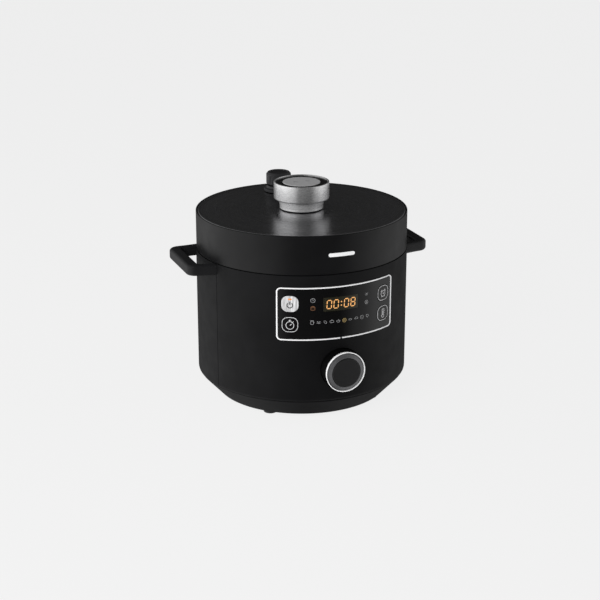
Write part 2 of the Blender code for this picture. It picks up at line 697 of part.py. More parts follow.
def make_feet():
    """Rubber feet and the base's screws, spread evenly round the floor."""
    for index in range(FOOT_COUNT):
        heading = math.pi / 4 + index * 2 * math.pi / FOOT_COUNT
        top = BASE_BOTTOM_Z - GAP
        points = [(0.0, top), (FOOT_RADIUS, top), (FOOT_RADIUS, FOOT_EDGE),
                (FOOT_RADIUS - FOOT_EDGE, 0.0), (0.0, 0.0)]
        foot = turned("foot_%d" % (index + 1), points, "rubber", 24)
        foot.location = on_body(heading, FOOT_CIRCLE, 0.0)
    for index in range(FOOT_COUNT):
        heading = index * 2 * math.pi / FOOT_COUNT
        top = BASE_BOTTOM_Z - GAP
        low = top - SCREW_HEAD_HEIGHT
        socket = SCREW_HEAD_RADIUS * 0.4
        points = [
            (0.0, top),
            (SCREW_HEAD_RADIUS, top),
            (SCREW_HEAD_RADIUS * 0.8, low),
            (socket, low),
            (socket, low + SCREW_HEAD_HEIGHT * 0.5),
            (0.0, low + SCREW_HEAD_HEIGHT * 0.5),
        ]
        screw = turned("base_screw_%d" % (index + 1), points, "steel", 12)
        screw.location = on_body(heading, SCREW_CIRCLE, 0.0)


# ------------------------------------------------------------------- side handles
def handle_arm(root, end_width):
    """One arm and half of the bar of a handle that stands to +X: outer points and inner points."""
    inner_root = root - HANDLE_ARM_ANGLE
    bar_inner = HANDLE_REACH - HANDLE_BAR_WIDTH
    root_out = (HANDLE_INNER * math.cos(root), HANDLE_INNER * math.sin(root))
    root_in = (HANDLE_INNER * math.cos(inner_root), HANDLE_INNER * math.sin(inner_root))
    end = (HANDLE_REACH, end_width)
    slope = (end[1] - root_out[1]) / (end[0] - root_out[0])
    gap_end = (bar_inner, root_in[1] + slope * (bar_inner - root_in[0]))
    outer = arc_points((0.0, 0.0), HANDLE_INNER, inner_root, root, 3)
    outer += rounded_corner(root_out, end, (end[0], 0.0), HANDLE_CORNER)
    inner = rounded_corner(root_in, gap_end, (gap_end[0], 0.0), HANDLE_GAP_CORNER, 3)
    return outer, inner


def handle_outline(side):
    """A handle that stands to one side: a front arm, a longer back part and an outer bar."""
    back_outer, back_inner = handle_arm(HANDLE_BACK_ROOT, HANDLE_BACK_END)
    front_outer, front_inner = handle_arm(HANDLE_FRONT_ROOT, HANDLE_FRONT_END)
    points = list(back_outer)
    points += [(x, -y) for x, y in reversed(front_outer)]
    points += [(x, -y) for x, y in front_inner]
    points += list(reversed(back_inner))
    if side < 0:
        points = [(-x, y) for x, y in reversed(points)]
    return points


def make_handles():
    """The two side handles, each the other's mirror image."""
    for name, side in (("right_handle", 1), ("left_handle", -1)):
        handle = add_piece(name, outline_mesh(name, handle_outline(side), HANDLE_THICKNESS), "black_plastic")
        handle.location.z = (HANDLE_TOP_Z + HANDLE_BOTTOM_Z) / 2
        bevel(handle, HANDLE_EDGE, 2, math.radians(60.0))


# --------------------------------------------------------- collar, pots and heater
def make_collar():
    """The collar under the lid's seam, with a trench that catches condensate."""
    outer = SHELL_INNER - GAP
    wall = COLLAR_TRENCH_WALL
    plate_z = SHELL_TOP_Z - COLLAR_PLATE_THICKNESS
    points = [
        (outer, SHELL_TOP_Z),
        (outer, SHELL_TOP_Z - RIM_DEPTH),
        (outer - wall, SHELL_TOP_Z - RIM_DEPTH),
        (outer - wall, plate_z),
        (COLLAR_INNER + wall, plate_z),
        (COLLAR_INNER + wall, COLLAR_BOTTOM_Z),
        (FRAME_RADIUS + GAP, COLLAR_BOTTOM_Z),
        (FRAME_RADIUS + GAP, COLLAR_SHELF_Z),
        (COLLAR_INNER, COLLAR_SHELF_Z),
        (COLLAR_INNER, SHELL_TOP_Z),
    ]
    turned("top_collar", points, "black_plastic", STEPS, True)


def tooth_cutter(name, inner, outer, low_z, high_z, first_heading):
    """A wedge of a ring that clears the space between two teeth."""
    gap_angle = 2 * math.pi / TOOTH_COUNT - TOOTH_ANGLE
    wedge = add_cutter(name, profile_mesh(name, [(outer, high_z), (outer, low_z)], False))
    turned_arc(wedge, first_heading, first_heading + gap_angle, outer - inner, 6)
    return wedge


def make_pressure_frame():
    """The outer pot that holds the inner one, with bayonet teeth round its rim."""
    inner = FRAME_RADIUS - FRAME_WALL
    hole = SENSOR_STEM_RADIUS + 0.001
    rounding = POT_FLOOR_ROUNDING
    points = [
        (inner, FRAME_TOP_Z),
        (FLANGE_RADIUS, FRAME_TOP_Z),
        (FLANGE_RADIUS, FLANGE_BOTTOM_Z),
        (FRAME_RADIUS, FLANGE_BOTTOM_Z),
        (FRAME_RADIUS, FRAME_FLOOR_Z + rounding),
        (FRAME_RADIUS - rounding, FRAME_FLOOR_Z),
        (hole, FRAME_FLOOR_Z),
        (hole, FRAME_FLOOR_Z + FRAME_WALL),
        (inner - rounding, FRAME_FLOOR_Z + FRAME_WALL),
        (inner, FRAME_FLOOR_Z + rounding + FRAME_WALL),
    ]
    frame = turned("pressure_frame", points, "aluminium", STEPS, True)
    for index in range(TOOTH_COUNT):
        heading = index * 2 * math.pi / TOOTH_COUNT + TOOTH_ANGLE / 2
        name = "flange_gap_%d" % index
        low_z = FLANGE_BOTTOM_Z - CUT_PAST
        high_z = FRAME_TOP_Z + CUT_PAST
        cut(frame, tooth_cutter(name, FRAME_RADIUS + 0.0004, FLANGE_RADIUS + FLANGE_CLEARANCE,
                low_z, high_z, heading))


def make_heater():
    """The heating plate, a ring round the temperature sensor."""
    hole = SENSOR_RADIUS + 0.002
    points = [
        (HEATER_RADIUS - HEATER_EDGE, HEATER_TOP_Z),
        (HEATER_RADIUS, HEATER_TOP_Z - HEATER_EDGE),
        (HEATER_RADIUS, HEATER_BOTTOM_Z),
        (hole, HEATER_BOTTOM_Z),
        (hole, HEATER_TOP_Z),
    ]
    turned("heating_plate", points, "aluminium", STEPS, True)


def make_inner_pot():
    """The removable cooking pot, with a flat rim that the seal presses on."""
    inner = POT_RADIUS - POT_WALL
    rounding = POT_FLOOR_ROUNDING
    points = [
        (0.0, POT_BOTTOM_Z + POT_WALL),
        (inner - rounding, POT_BOTTOM_Z + POT_WALL),
        (inner - rounding * 0.3, POT_BOTTOM_Z + POT_WALL + rounding * 0.3),
        (inner, POT_BOTTOM_Z + POT_WALL + rounding),
        (inner, POT_RIM_TOP_Z),
        (POT_RIM_RADIUS, POT_RIM_TOP_Z),
        (POT_RIM_RADIUS, POT_RIM_BOTTOM_Z),
        (POT_RADIUS, POT_RIM_BOTTOM_Z),
        (POT_RADIUS, POT_BOTTOM_Z + rounding),
        (POT_RADIUS - rounding * 0.3, POT_BOTTOM_Z + rounding * 0.3),
        (POT_RADIUS - rounding, POT_BOTTOM_Z),
        (0.0, POT_BOTTOM_Z),
    ]
    turned("inner_pot", points, "pot_coating")


def make_sensor():
    """The sprung temperature sensor in the middle of the heating plate."""
    cap_bottom = HEATER_TOP_Z - SENSOR_CAP_THICKNESS
    floor_z = FRAME_FLOOR_Z + FRAME_WALL
    stem_bottom = floor_z + SENSOR_TRAVEL + 0.001
    points = [
        (0.0, HEATER_TOP_Z),
        (SENSOR_RADIUS - SENSOR_EDGE, HEATER_TOP_Z),
        (SENSOR_RADIUS, HEATER_TOP_Z - SENSOR_EDGE),
        (SENSOR_RADIUS, cap_bottom),
        (SENSOR_STEM_RADIUS, cap_bottom),
        (SENSOR_STEM_RADIUS, stem_bottom),
        (0.0, stem_bottom),
    ]
    sensor = turned("temperature_sensor", points, "aluminium", 24)
    joint_empty("sensor_axis", (0.0, 0.0, HEATER_TOP_Z), [sensor])
    spring_low = floor_z + GAP + SPRING_WIRE_RADIUS
    spring_high = cap_bottom - GAP - SPRING_WIRE_RADIUS
    points_per_turn = 10
    curve = bpy.data.curves.new("sensor_spring", 'CURVE')
    curve.dimensions = '3D'
    curve.bevel_depth = SPRING_WIRE_RADIUS
    curve.bevel_resolution = 2
    curve.use_fill_caps = True
    spline = curve.splines.new('POLY')
    count = SPRING_TURNS * points_per_turn
    spline.points.add(count)
    for i, spot in enumerate(spline.points):
        angle = 2 * math.pi * i / points_per_turn
        height = spring_low + (spring_high - spring_low) * i / count
        spot.co = (SPRING_RADIUS * math.cos(angle), SPRING_RADIUS * math.sin(angle), height, 1.0)
    add_piece("sensor_spring", curve_to_mesh("sensor_spring", curve), "steel")


# -------------------------------------------------------------------- electronics
def make_boards():
    """The power board in the base, the control board and the display module."""
    power_z = BASE_BOTTOM_Z + BASE_WALL + POWER_BOARD_LIFT
    low = (-POWER_BOARD_LENGTH / 2, -POWER_BOARD_WIDTH / 2, power_z)
    high = (POWER_BOARD_LENGTH / 2, POWER_BOARD_WIDTH / 2, power_z + BOARD_THICKNESS)
    power = add_piece("power_board", block_mesh("power_board", low, high), "board_green")
    for index, x in enumerate((-RELAY_PITCH, 0.0, RELAY_PITCH)):
        low = (x - RELAY_HALF_WIDTH, -RELAY_HALF_LENGTH, power_z + BOARD_THICKNESS / 2)
        high = (x + RELAY_HALF_WIDTH, RELAY_HALF_LENGTH, power_z + BOARD_THICKNESS + RELAY_HEIGHT)
        join(power, add_cutter("relay_%d" % index, block_mesh("relay", low, high)))
    for index, (x, y) in enumerate(((-STAND_X, -STAND_Y), (-STAND_X, STAND_Y), (STAND_X,
            -STAND_Y), (STAND_X, STAND_Y))):
        low = (x - STAND_HALF_SIDE, y - STAND_HALF_SIDE, BASE_BOTTOM_Z + BASE_WALL + GAP)
        high = (x + STAND_HALF_SIDE, y + STAND_HALF_SIDE, power_z + BOARD_THICKNESS / 2)
        join(power, add_cutter("stand_%d" % index, block_mesh("stand", low, high)))

    board_front = FRAME_RADIUS + BOARD_POT_GAP + BOARD_THICKNESS
    board_corner = BODY_RADIUS - KEY_THICKNESS - KEY_TRAVEL - BOARD_CORNER_CLEARANCE
    board_half = math.sqrt(board_corner ** 2 - board_front ** 2)
    low = (-board_half, -board_front, PANEL_BOTTOM_Z + BOARD_MARGIN)
    high = (board_half, -board_front + BOARD_THICKNESS, COLLAR_BOTTOM_Z - 2 * GAP)
    board = add_piece("control_board", block_mesh("control_board", low, high), "board_green")
    switch_x = board_half - SWITCH_SIZE / 2 - MODULE_INSET
    for index, (x_sign, z_sign) in enumerate(((-1, 1), (-1, -1), (1, 1), (1, -1))):
        middle_z = PANEL_MIDDLE_Z + z_sign * KEY_RISE
        low = (x_sign * switch_x - SWITCH_SIZE / 2, -board_front - SWITCH_HEIGHT, middle_z - SWITCH_SIZE / 2)
        high = (x_sign * switch_x + SWITCH_SIZE / 2, -board_front + SWITCH_PROUD, middle_z + SWITCH_SIZE / 2)
        join(board, add_cutter("switch_%d" % index, block_mesh("switch", low, high)))
    module_half = WINDOW_WIDTH / 2 - MODULE_INSET
    module_front = math.sqrt(PANEL_INNER ** 2 - module_half ** 2) - 2 * GAP
    low = (-module_half, -module_front, WINDOW_Z - WINDOW_HEIGHT / 2)
    high = (module_half, -board_front - GAP, WINDOW_Z + WINDOW_HEIGHT / 2)
    add_piece("display_module", block_mesh("display_module", low, high), "gloss_black")


def make_inlet():
    """The mains inlet socket: a block with a mouth to the rear and three blades in it."""
    back = BODY_RADIUS + INLET_PROUD
    front = back - INLET_DEPTH
    low = (-INLET_WIDTH / 2, front, INLET_Z - INLET_HEIGHT / 2)
    high = (INLET_WIDTH / 2, back, INLET_Z + INLET_HEIGHT / 2)
    socket = add_piece("inlet_socket", block_mesh("inlet_socket", low, high), "black_plastic")
    mouth_low = (-INLET_WIDTH / 2 + INLET_WALL, front + INLET_WALL, INLET_Z - INLET_HEIGHT / 2 + INLET_WALL)
    mouth_high = (INLET_WIDTH / 2 - INLET_WALL, back + 0.010, INLET_Z + INLET_HEIGHT / 2 - INLET_WALL)
    cut(socket, add_cutter("inlet_mouth", block_mesh("inlet_mouth", mouth_low, mouth_high)))
    for index, (x, rise) in enumerate(((-PIN_PITCH, 0.0), (0.0, PIN_RISE), (PIN_PITCH, 0.0))):
        middle_z = INLET_Z + PIN_LIFT + rise
        low = (x - PIN_WIDTH / 2, front + INLET_WALL / 2, middle_z - PIN_HEIGHT / 2)
        high = (x + PIN_WIDTH / 2, back - PIN_INSET, middle_z + PIN_HEIGHT / 2)
        join(socket, add_cutter("inlet_blade_%d" % index, block_mesh("inlet_blade", low, high)))


# ------------------------------------------------------------------- control panel
def panel_prism(name, growth):
    """The panel's rounded outline, grown by some amount, run out through the wall."""
    half_width = PANEL_HALF_CHORD + growth
    low_z = PANEL_BOTTOM_Z - growth
    high_z = PANEL_TOP_Z + growth
    return rounded_prism(name, half_width, low_z, high_z, PANEL_CORNER + growth, 0.06, BODY_RADIUS + 0.03)


def curved_plate(name, outer, thickness, half_heading, low_z, high_z, steps, finish_name=None):
    """A plate bent round the cooker's axis and centred on the front."""
    mesh = profile_mesh(name, [(outer, high_z), (outer, low_z)], False)
    obj = add_piece(name, mesh, finish_name) if finish_name else add_cutter(name, mesh)
    turned_arc(obj, -half_heading, half_heading, thickness, steps)
    return obj


def make_panel():
    """The curved panel, the silver line round it, its window and its four keys."""
    half_line = FRAME_LINE_WIDTH / 2
    wide = PANEL_HEADING + PANEL_SPARE_HEADING
    low_z = PANEL_BOTTOM_Z - PANEL_SPARE
    high_z = PANEL_TOP_Z + PANEL_SPARE
    steps = 16
    frame_outer = BODY_RADIUS + FRAME_LINE_PROUD
    frame = curved_plate("panel_frame", frame_outer, SHELL_WALL, wide, low_z, high_z, steps, "chrome")
    combine(frame, panel_prism("frame_outside", half_line), 'INTERSECT')
    cut(frame, panel_prism("frame_inside", -half_line))
    notch_low = (-FRAME_LINE_NOTCH / 2, -BODY_RADIUS - NOTCH_REACH, PANEL_BOTTOM_Z - FRAME_LINE_WIDTH)
    notch_high = (FRAME_LINE_NOTCH / 2, -BODY_RADIUS + NOTCH_REACH, PANEL_BOTTOM_Z + FRAME_LINE_WIDTH)
    cut(frame, add_cutter("frame_notch", block_mesh("frame_notch", notch_low, notch_high)))
    panel = curved_plate("control_panel", BODY_RADIUS, PANEL_THICKNESS, wide, low_z, high_z,
            steps, "gloss_black")
    combine(panel, panel_prism("panel_outline", -half_line - GAP), 'INTERSECT')

    half_window = WINDOW_WIDTH / 2
    window_low = WINDOW_Z - WINDOW_HEIGHT / 2
    window_high = WINDOW_Z + WINDOW_HEIGHT / 2
    near = 0.10
    far = BODY_RADIUS + 0.02
    window_hole = rounded_prism("window_hole", half_window + GAP, window_low - GAP, window_high + GAP,
                                WINDOW_CORNER + GAP, near, far)
    cut(panel, window_hole)
    window_shape = rounded_prism("window_shape", half_window, window_low, window_high,
            WINDOW_CORNER, near, far)
    window = curved_plate("display_window", BODY_RADIUS, PANEL_THICKNESS,
            half_window / BODY_RADIUS + PLATE_SPARE_HEADING,
                          window_low - PLATE_SPARE, window_high + PLATE_SPARE, 6, "display_glass")
    combine(window, window_shape, 'INTERSECT')

    keys = (("power_key", -1, 1, "silver"), ("timer_key", -1, -1, "gloss_black"),
            ("preset_key", 1, 1, "gloss_black"), ("temperature_key", 1, -1, "gloss_black"))
    for name, x_sign, z_sign, finish_name in keys:
        make_key(name, x_sign * KEY_HEADING, PANEL_MIDDLE_Z + z_sign * KEY_RISE, finish_name, panel)


def make_key(name, heading, middle_z, finish_name, panel):
    """One push key, and the hole it moves in."""
    half_width = KEY_WIDTH / 2
    half_height = KEY_HEIGHT / 2
    near = BODY_RADIUS - KEY_CUT_REACH
    far = BODY_RADIUS + KEY_CUT_REACH
    hole = rounded_prism(name + "_hole", half_width + KEY_CLEARANCE, middle_z - half_height - KEY_CLEARANCE,
                         middle_z + half_height + KEY_CLEARANCE, KEY_CORNER + KEY_CLEARANCE,
                                 near, far, heading)
    cut(panel, hole)
    shape = rounded_prism(name + "_shape", half_width, middle_z - half_height, middle_z + half_height,
                          KEY_CORNER, near, far, heading)
    half_heading = half_width / BODY_RADIUS + PLATE_SPARE_HEADING
    outline = profile_mesh(name, [(BODY_RADIUS + KEY_PROUD, middle_z + half_height + PLATE_SPARE),
                                  (BODY_RADIUS + KEY_PROUD, middle_z - half_height - PLATE_SPARE)], False)
    key = add_piece(name, outline, finish_name)
    turned_arc(key, heading - half_heading, heading + half_heading, KEY_THICKNESS, 4)
    combine(key, shape, 'INTERSECT')
    joint_empty(name + "_axis", on_body(heading, BODY_RADIUS, middle_z), [key])


# ----------------------------------------------------------------------------- dial
def make_dial():
    """The front dial with its rim, face and centre button, and the encoder behind it."""
    bore = DIAL_SHAFT_RADIUS + GAP
    wall = DIAL_WALL
    plate_back = DIAL_BODY_FRONT - DIAL_PLATE
    dial_points = [
        (DIAL_RADIUS - GAP, DIAL_BODY_FRONT),
        (DIAL_RADIUS - GAP, DIAL_SKIRT_BACK),
        (DIAL_RADIUS - wall, DIAL_SKIRT_BACK),
        (DIAL_RADIUS - wall, plate_back),
        (DIAL_HUB_RADIUS, plate_back),
        (DIAL_HUB_RADIUS, plate_back - DIAL_HUB_DEPTH),
        (bore, plate_back - DIAL_HUB_DEPTH),
        (bore, DIAL_BODY_FRONT),
    ]
    dial = turned("dial_body", dial_points, "black_plastic", MEDIUM_STEPS, True)
    rim_inner = DIAL_RADIUS - DIAL_RIM_WIDTH
    rim_points = [
        (rim_inner + DIAL_EDGE, DIAL_RIM_FRONT),
        (DIAL_RADIUS - DIAL_EDGE, DIAL_RIM_FRONT),
        (DIAL_RADIUS, DIAL_RIM_FRONT - DIAL_EDGE),
        (DIAL_RADIUS, DIAL_RIM_BACK),
        (rim_inner, DIAL_RIM_BACK),
        (rim_inner, DIAL_RIM_FRONT - DIAL_EDGE),
    ]
    rim = turned("dial_rim", rim_points, "chrome", MEDIUM_STEPS, True)
    face_inner = DIAL_BUTTON_RADIUS + TURNING_CLEARANCE
    face_points = [
        (face_inner, DIAL_FRONT - 0.0006),
        (rim_inner - GAP, DIAL_RIM_FRONT - 0.0008),
        (rim_inner - GAP, DIAL_RIM_BACK),
        (face_inner, DIAL_RIM_BACK),
    ]
    face = turned("dial_face", face_points, "grey_plastic", MEDIUM_STEPS, True)
    button_back = DIAL_FRONT - DIAL_BUTTON_THICKNESS
    button_points = [
        (0.0, DIAL_FRONT),
        (DIAL_BUTTON_RADIUS - DIAL_EDGE, DIAL_FRONT),
        (DIAL_BUTTON_RADIUS, DIAL_FRONT - DIAL_EDGE),
        (DIAL_BUTTON_RADIUS, button_back),
        (0.0, button_back),
    ]
    button = turned("dial_button", button_points, "gloss_black", MEDIUM_STEPS)
    shaft_back = ENCODER_FRONT - ENCODER_PLATE - ENCODER_DEPTH + 0.001
    shaft_points = [
        (0.0, DIAL_BODY_FRONT),
        (DIAL_SHAFT_RADIUS, DIAL_BODY_FRONT),
        (DIAL_SHAFT_RADIUS, shaft_back),
        (0.0, shaft_back),
    ]
    shaft = turned("dial_shaft", shaft_points, "steel", SMALL_STEPS)
    encoder_bore = DIAL_SHAFT_RADIUS + TURNING_CLEARANCE
    plate = ENCODER_FRONT - ENCODER_PLATE
    encoder_points = [
        (DIAL_HOLE_RADIUS + ENCODER_FLANGE_MARGIN, ENCODER_FRONT),
        (DIAL_HOLE_RADIUS + ENCODER_FLANGE_MARGIN, plate),
        (ENCODER_RADIUS, plate),
        (ENCODER_RADIUS, plate - ENCODER_DEPTH),
        (encoder_bore, plate - ENCODER_DEPTH),
        (encoder_bore, ENCODER_FRONT),
    ]
    encoder = turned("encoder", encoder_points, "grey_plastic", MEDIUM_STEPS, True)
    for piece in (dial, rim, face, button, shaft, encoder):
        face_front(piece, DIAL_Z)
    joint_empty("dial_axis", (0.0, -BODY_RADIUS, DIAL_Z), [dial, rim, face, shaft, button])


# ------------------------------------------------------------------------ the lid
def drilled(name, place, radius, low_z, high_z):
    """A drill through the lid's pieces at a place."""
    drill = add_cutter(name, cylinder_mesh(name, radius, high_z - low_z, SMALL_STEPS))
    drill.location = (place[0], place[1], (low_z + high_z) / 2)
    return drill


def lid_drills(suffix, low_z, high_z):
    """Drills for the vent pipe and the float valve, for one plate."""
    float_place = on_body(FLOAT_HEADING, VALVE_OFFSET, 0.0)
    vent = drilled("vent_drill_" + suffix, VALVE_PLACE, VENT_RADIUS + GAP, low_z, high_z)
    pin = drilled("float_drill_" + suffix, float_place, FLOAT_RADIUS + TURNING_CLEARANCE, low_z, high_z)
    return vent, pin


def make_lid_cover():
    """The lid's side wall and rim, open at the top for the plate."""
    rounding = LID_EDGE_ROUNDING
    step = LID_PLATE_THICKNESS + LID_PLATE_DISH
    seat_inner = LID_INNER - LID_LEDGE
    points = [
        (LID_RADIUS - LID_RIM_WIDTH, LID_TOP_Z),
        (LID_RADIUS - rounding * 0.3, LID_TOP_Z - rounding * 0.1),
        (LID_RADIUS, LID_TOP_Z - rounding),
        (LID_RADIUS, LID_BOTTOM_Z),
        (LID_INNER, LID_BOTTOM_Z),
        (LID_INNER, LID_TOP_Z - step - LID_WALL),
        (seat_inner, LID_TOP_Z - step - LID_WALL),
        (seat_inner, LID_TOP_Z - step - GAP),
        (LID_RADIUS - LID_RIM_WIDTH, LID_TOP_Z - step - GAP),
    ]
    turned("lid_cover", points, "black_plastic", STEPS, True)


def make_lid_plate():
    """The brushed top plate, dished a little towards its middle."""
    points = [
        (NECK_HOLE_RADIUS, LID_TOP_Z - LID_PLATE_DISH),
        (LID_PLATE_RADIUS - PLATE_DISH_MARGIN, LID_TOP_Z - LID_PLATE_DISH),
        (LID_PLATE_RADIUS - PLATE_EDGE_WIDTH, LID_TOP_Z),
        (LID_PLATE_RADIUS, LID_TOP_Z - PLATE_EDGE_DROP),
        (LID_PLATE_RADIUS, LID_PLATE_BOTTOM_Z),
        (NECK_HOLE_RADIUS, LID_PLATE_BOTTOM_Z),
    ]
    plate = turned("lid_plate", points, "brushed_black", STEPS, True)
    cut(plate, *lid_drills("plate", LID_PLATE_BOTTOM_Z - DRILL_PAST, LID_TOP_Z + DRILL_PAST))


def make_liner():
    """The liner that ties the lid's shell to the pressure lid with three posts."""
    points = [
        (NECK_HOLE_RADIUS, LINER_TOP_Z),
        (LID_INNER - GAP, LINER_TOP_Z),
        (LID_INNER - GAP, LINER_BOTTOM_Z),
        (NECK_HOLE_RADIUS, LINER_BOTTOM_Z),
    ]
    liner = turned("lid_liner", points, "black_plastic", STEPS, True)
    cut(liner, *lid_drills("liner", LINER_BOTTOM_Z - DRILL_PAST, LINER_TOP_Z + DRILL_PAST))
    post_low = PRESSURE_LID_TOP_Z + GAP
    for index, heading in enumerate(POST_HEADINGS):
        place = on_body(heading, POST_CIRCLE, 0.0)
        name = "liner_post_%d" % index
        post = drilled(name, place, POST_RADIUS, post_low, LINER_TOP_Z - LINER_THICKNESS / 2)
        join(liner, post)


def make_pressure_lid():
    """The steel lid that closes the pot, with a skirt round the seal."""
    skirt_inner = POT_RIM_RADIUS + GAP
    points = [
        (0.0, PRESSURE_LID_TOP_Z),
        (PRESSURE_LID_RADIUS, PRESSURE_LID_TOP_Z),
        (PRESSURE_LID_RADIUS, PRESSURE_LID_BOTTOM_Z - PRESSURE_LID_SKIRT),
        (skirt_inner, PRESSURE_LID_BOTTOM_Z - PRESSURE_LID_SKIRT),
        (skirt_inner, PRESSURE_LID_BOTTOM_Z),
        (0.0, PRESSURE_LID_BOTTOM_Z),
    ]
    lid = turned("pressure_lid", points, "steel")
    cut(lid, *lid_drills("pressure", PRESSURE_LID_BOTTOM_Z - DRILL_PAST, PRESSURE_LID_TOP_Z + DRILL_PAST))


def make_seal():
    """The silicone sealing ring."""
    outer = POT_RIM_RADIUS
    inner = outer - SEAL_WIDTH
    points = [
        (outer, SEAL_TOP_Z),
        (outer, SEAL_BOTTOM_Z + SEAL_EDGE),
        (outer - SEAL_EDGE, SEAL_BOTTOM_Z),
        (inner + SEAL_EDGE, SEAL_BOTTOM_Z),
        (inner, SEAL_BOTTOM_Z + SEAL_EDGE),
        (inner, SEAL_TOP_Z),
    ]
    turned("sealing_ring", points, "silicone", STEPS, True)


def make_mark():
    """A plain bar on the front of the lid's wall."""
    middle_z = LID_TOP_Z - MARK_DROP
    half_width = MARK_WIDTH / 2
    half_height = MARK_HEIGHT / 2
    mark = curved_plate("lid_mark", LID_RADIUS + GAP + MARK_THICKNESS, MARK_THICKNESS,
            half_width / LID_RADIUS + 0.02,
                        middle_z - half_height - CUT_PAST, middle_z + half_height + CUT_PAST, 8, "silver")
    shape = rounded_prism("mark_shape", half_width, middle_z - half_height, middle_z + half_height,
                          half_height * 0.95, LID_RADIUS - MARK_CUT_REACH, LID_RADIUS + MARK_CUT_REACH)
    combine(mark, shape, 'INTERSECT')


# --------------------------------------------------------------- knob and bayonet
def make_knob():
    """The lid's knob and all that turns with it, down to the locking ring."""
    inner = KNOB_RADIUS - KNOB_WALL
    ring_points = [
        (inner + KNOB_EDGE, KNOB_TOP_Z),
        (KNOB_RADIUS - KNOB_EDGE, KNOB_TOP_Z),
        (KNOB_RADIUS, KNOB_TOP_Z - KNOB_EDGE),
        (KNOB_RADIUS, KNOB_BOTTOM_Z + KNOB_EDGE),
        (KNOB_RADIUS - KNOB_EDGE, KNOB_BOTTOM_Z),
        (inner, KNOB_BOTTOM_Z),
        (inner, KNOB_TOP_Z - KNOB_EDGE),
    ]
    ring = turned("knob_ring", ring_points, "silver", MEDIUM_STEPS, True)
    cap_top = KNOB_TOP_Z - KNOB_CAP_INSET
    seat = cap_top - KNOB_DISC_THICKNESS - GAP
    web = seat - KNOB_CAP_THICKNESS
    disc_hole = KNOB_DISC_RADIUS + GAP
    cap_points = [
        (0.0, seat),
        (disc_hole, seat),
        (disc_hole, cap_top),
        (inner - GAP, cap_top),
        (inner - GAP, web),
        (0.0, web),
    ]
    cap = turned("knob_cap", cap_points, "gloss_black", MEDIUM_STEPS)
    disc_top = cap_top + DISC_PROUD
    disc_points = [
        (0.0, disc_top),
        (KNOB_DISC_RADIUS - 0.0008, disc_top),
        (KNOB_DISC_RADIUS, disc_top - 0.0006),
        (KNOB_DISC_RADIUS, seat + GAP),
        (0.0, seat + GAP),
    ]
    disc = turned("knob_disc", disc_points, "grey_plastic", MEDIUM_STEPS)
    neck_top = web - GAP
    neck_bottom = LID_TOP_Z + NECK_GAP
    neck_bore = SHAFT_RADIUS + GAP
    waist_z = KNOB_BOTTOM_Z - NECK_SLOPE_START
    neck_points = [
        (NECK_RADIUS, neck_top),
        (NECK_RADIUS, waist_z),
        (NECK_RADIUS - NECK_TAPER, neck_bottom),
        (neck_bore, neck_bottom),
        (neck_bore, neck_top),
    ]
    neck = turned("knob_neck", neck_points, "silver", MEDIUM_STEPS, True)
    spider_top = LOCK_TOP_Z
    spider_low = LOCK_TOP_Z - SPOKE_THICKNESS
    shaft_points = [
        (0.0, neck_top),
        (SHAFT_RADIUS, neck_top),
        (SHAFT_RADIUS, spider_low),
        (0.0, spider_low),
    ]
    shaft = turned("drive_shaft", shaft_points, "steel", SMALL_STEPS)
    lock = make_locking_ring(spider_low, spider_top)
    joint_empty("knob_axis", (0.0, 0.0, KNOB_BOTTOM_Z), [ring, cap, disc, neck, shaft, lock])


def make_locking_ring(spider_low, spider_top):
    """The ring with bayonet teeth, and the spider that ties it to the shaft."""
    points = [
        (LOCK_OUTER, spider_top),
        (LOCK_OUTER, LOCK_BOTTOM_Z),
        (LOCK_TOOTH_INNER, LOCK_BOTTOM_Z),
        (LOCK_TOOTH_INNER, LOCK_TOOTH_TOP_Z),
        (LOCK_INNER, LOCK_TOOTH_TOP_Z),
        (LOCK_INNER, spider_top),
    ]
    lock = turned("locking_ring", points, "steel", STEPS, True)
    half_pitch = math.pi / TOOTH_COUNT
    for index in range(TOOTH_COUNT):
        heading = index * 2 * half_pitch + half_pitch + TOOTH_ANGLE / 2
        low_z = LOCK_BOTTOM_Z - CUT_PAST
        high_z = LOCK_TOOTH_TOP_Z + CUT_PAST
        name = "lock_gap_%d" % index
        cut(lock, tooth_cutter(name, LOCK_TOOTH_INNER - 0.003, LOCK_INNER - 0.0002, low_z, high_z, heading))
    hub = SHAFT_RADIUS + GAP
    hub_outer = SHAFT_RADIUS + LOCK_HUB_WALL
    hub_points = [(hub_outer, spider_top), (hub_outer, spider_low), (hub, spider_low), (hub, spider_top)]
    spider = turned_cutter("spider_hub", hub_points, SMALL_STEPS, True)
    for index in range(SPOKE_COUNT):
        heading = SPOKE_HEADING + index * 2 * math.pi / SPOKE_COUNT
        name = "spoke_%d" % index
        near = SHAFT_RADIUS + LOCK_SPOKE_START
        far = (LOCK_INNER + LOCK_OUTER) / 2
        low = (-SPOKE_WIDTH / 2, -far, spider_low)
        high = (SPOKE_WIDTH / 2, -near, spider_top)
        spoke = add_cutter(name, block_mesh(name, low, high))
        spoke.rotation_euler.z = heading
        join(spider, spoke)
    join(lock, spider)
    return lock


